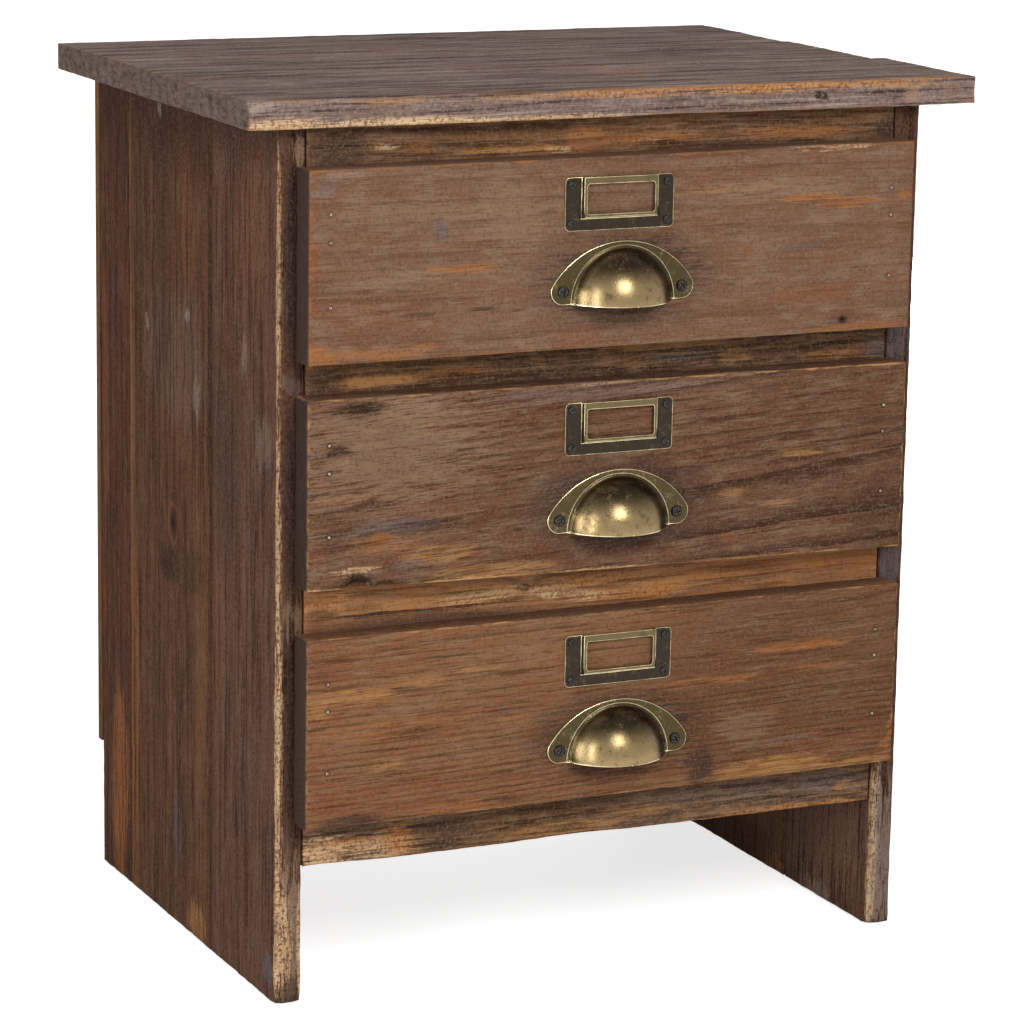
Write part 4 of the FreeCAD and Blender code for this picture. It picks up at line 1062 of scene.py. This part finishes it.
pullBrass = {"proudFrom": 1.5, "proudTo": 9, "edges": 0.95}
labelBrass = {
    "old": tint(52, 45, 38), "mid": tint(80, 70, 50), "bright": tint(100, 88, 62),
    "sides": (60, 90), "shadeFrom": 40, "shadeTo": 60, "proudFrom": 1.0, "proudTo": 3.4,
    "edges": 0.95, "rough": 0.36,
}
screwTurns = (12, 55, 31, 78, 20, 64)  # how far each cross is turned, degrees
screwSizes = {"pull": {"radius": 3.6, "high": 1.6}, "label": {"radius": 2.5, "high": 1.1}}
pullOriginal = makePull(cupPull)
labelOriginal = makeLabel(labelFrame)
screwOriginals = {kind: makeScrew(f"{kind}_screw", **size) for kind, size in screwSizes.items()}
screwMetal = screwFinish("dark_screws")
for number, name in enumerate(drawers):
    body = f"{name}_drawer"
    low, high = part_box(f"{body}_pull")
    face = high.y
    middle = Vector(((low.x + high.x) / 2, face, low.z))
    pull = copyTo(pullOriginal, f"{body}_cup_pull", middle)
    paint(pull, brassFinish(pull.name, caseSpot(middle), pullBrass))
    place(pull, body, "brass", f"{body}_pull")
    low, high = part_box(f"{body}_label_frame")
    middle = Vector(((low.x + high.x) / 2, face, low.z))
    label = copyTo(labelOriginal, f"{body}_label_holder", middle)
    paint(label, brassFinish(label.name, caseSpot(middle), labelBrass))
    place(label, body, "label_brass", f"{body}_label_frame")
    for kind, original in screwOriginals.items():
        node = f"{body}_{kind}_screws"
        low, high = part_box(node)
        radius, rise = (screwSizes[kind][key] * mm for key in ("radius", "high"))
        heads = []
        rows = {low.z + radius, high.z - radius} if kind == "label" else {(low.z + high.z) / 2}
        for x in (low.x + radius, high.x - radius):
            for z in sorted(rows):
                head = copyTo(original, "head", Vector())
                turn = math.radians(screwTurns[(len(heads) + 2 * number) % len(screwTurns)])
                head.data.transform(Matrix.Rotation(turn, 4, "Y"))
                head.data.transform(Matrix.Translation((x, low.y + rise, z)))
                heads.append(head)
        joined = joinAll(f"{body}_{kind}_screw_heads", heads)
        paint(joined, screwMetal)
        place(joined, body, "dark_screw", node)
for original in (pullOriginal, labelOriginal, *screwOriginals.values()):
    discard(original)
print("pulls, label frames and screws done")

# The boards inside, the back panel and the nails keep their shapes

innerLook = {
    "ground": tint(150, 116, 82), "warm": tint(152, 108, 70), "pale": tint(172, 140, 106),
    "deep": tint(104, 70, 44), "scuff": tint(170, 142, 112), "rim": tint(166, 128, 90),
    "end": tint(120, 88, 62), "ends": 0.6, "rings": 0.55, "fibres": 0.4, "streaks": 0.35,
    "scuffs": 0.3,
}
panelLook = {
    "ground": tint(104, 74, 52), "warm": tint(110, 74, 48), "pale": tint(124, 94, 70),
    "deep": tint(62, 42, 30), "rim": tint(116, 86, 62), "heart": (60, 90), "ringStep": 8,
}


def nailFinish():
    finish = Finish("nails")
    speck = finish.noise(finish.caseplace(), 1.5, 2, 0.6)
    colour = finish.mix(finish.between(speck, 0.42, 0.62), tint(172, 160, 146), tint(96, 74, 58))
    return finish.close(colour, 0.42 + speck * 0.2, speck, 0.02, 0.7)


nailMetal = nailFinish()
for number, (name, node) in enumerate(nodes.items()):
    slot = node.data.materials[0].name
    if slot == "iron_nail":
        node.data.materials[0] = nailMetal
    elif slot in ("inner_wood", "panel_wood"):
        low, high = casebox(node)
        spans = [high[i] - low[i] for i in range(3)]
        grain = "z" if name == "back_panel" else "xyz"[spans.index(max(spans))]
        look = {**(innerLook if slot == "inner_wood" else panelLook), "seed": 30 + number}
        node.data.materials[0] = woodFinish(f"{name}_wood", grain, low, high, look)
print("inner boards and nails done")

# Camera, stage and light

cameraSetting = {
    "place": (-836.9, -2116.3, 811.9),
    "azimuth": -25.07,  # degrees, turned from straight at the front
    "elevation": 12.5,
    "roll": 0.99,
    "lens": 139.31,
    "film": 36,
}


def addCamera(setting):
    turn, drop, roll = (math.radians(setting[key]) for key in ("azimuth", "elevation", "roll"))
    ahead = Vector((-math.sin(turn) * math.cos(drop), math.cos(turn) * math.cos(drop), -math.sin(drop)))
    level = Vector((math.cos(turn), math.sin(turn), 0))
    above = level.cross(ahead)
    right = level * math.cos(roll) + above * math.sin(roll)
    up = above * math.cos(roll) - level * math.sin(roll)
    data = bpy.data.cameras.new("camera")
    data.lens = setting["lens"]
    data.sensor_width = setting["film"]
    camera = bpy.data.objects.new("camera", data)
    turned = Matrix((right, up, -ahead)).transposed().to_4x4()
    camera.matrix_world = Matrix.Translation(at(*setting["place"])) @ turned
    bpy.context.scene.collection.objects.link(camera)
    bpy.context.scene.camera = camera


addCamera(cameraSetting)

aim = (210, 100, 300)  # inside the case, where the lamps look
worldFill = 0.3
lamps = {
    "key": {"place": (280, -2100, 1680), "size": (850, 850), "power": 30},
    "left": {"place": (-2300, -300, 500), "size": (500, 1300), "power": 20},
    "front": {"place": (-1700, -1300, 650), "size": (400, 1300), "power": 12},
    "back": {"place": (2300, 2000, 300), "size": (1500, 600), "power": 48},
}


def addLamp(name, setting, target):
    data = bpy.data.lights.new(name, "AREA")
    data.shape = "RECTANGLE"
    data.size, data.size_y = (side * mm for side in setting["size"])
    data.energy = setting["power"]
    lamp = bpy.data.objects.new(name, data)
    spot = at(*setting["place"])
    lamp.location = spot
    lamp.rotation_euler = (target - spot).to_track_quat("-Z", "Y").to_euler()
    bpy.context.scene.collection.objects.link(lamp)


for name, setting in lamps.items():
    addLamp(name, setting, at(*aim))

bpy.context.scene.view_settings.view_transform = "Standard"
studio = bpy.data.worlds.new("studio")
bpy.context.scene.world = studio
air = Finish("studio", studio)
sky = air.node("Background", {}, {"Color": (1, 1, 1, 1), "Strength": air.seen().most(worldFill)})
air.node("OutputWorld", {}, {"Surface": sky})

restart()
under = (*aim[:2], 0)
bpy.ops.mesh.primitive_circle_add(vertices=128, radius=16, fill_type="NGON", location=at(*under))
floor = named("floor")
finish = Finish("floor")
far = finish.length(finish.moved(finish.caseplace(), under, (1000, 1000, 1000)))
glow = finish.seen() * finish.between(far, 0.2, 1.0, 0.74, 1)  # less near the case, so its shadow stays
white = finish.node("BsdfPrincipled", {}, {
    "Base Color": tint(236, 236, 236), "Roughness": 0.9, "Specular IOR Level": 0.1,
    "Emission Color": finish.mix(glow, (0, 0, 0, 1), (1, 1, 1, 1)), "Emission Strength": 1.0,
})
finish.node("OutputMaterial", {}, {"Surface": white})
paint(floor, finish.material)
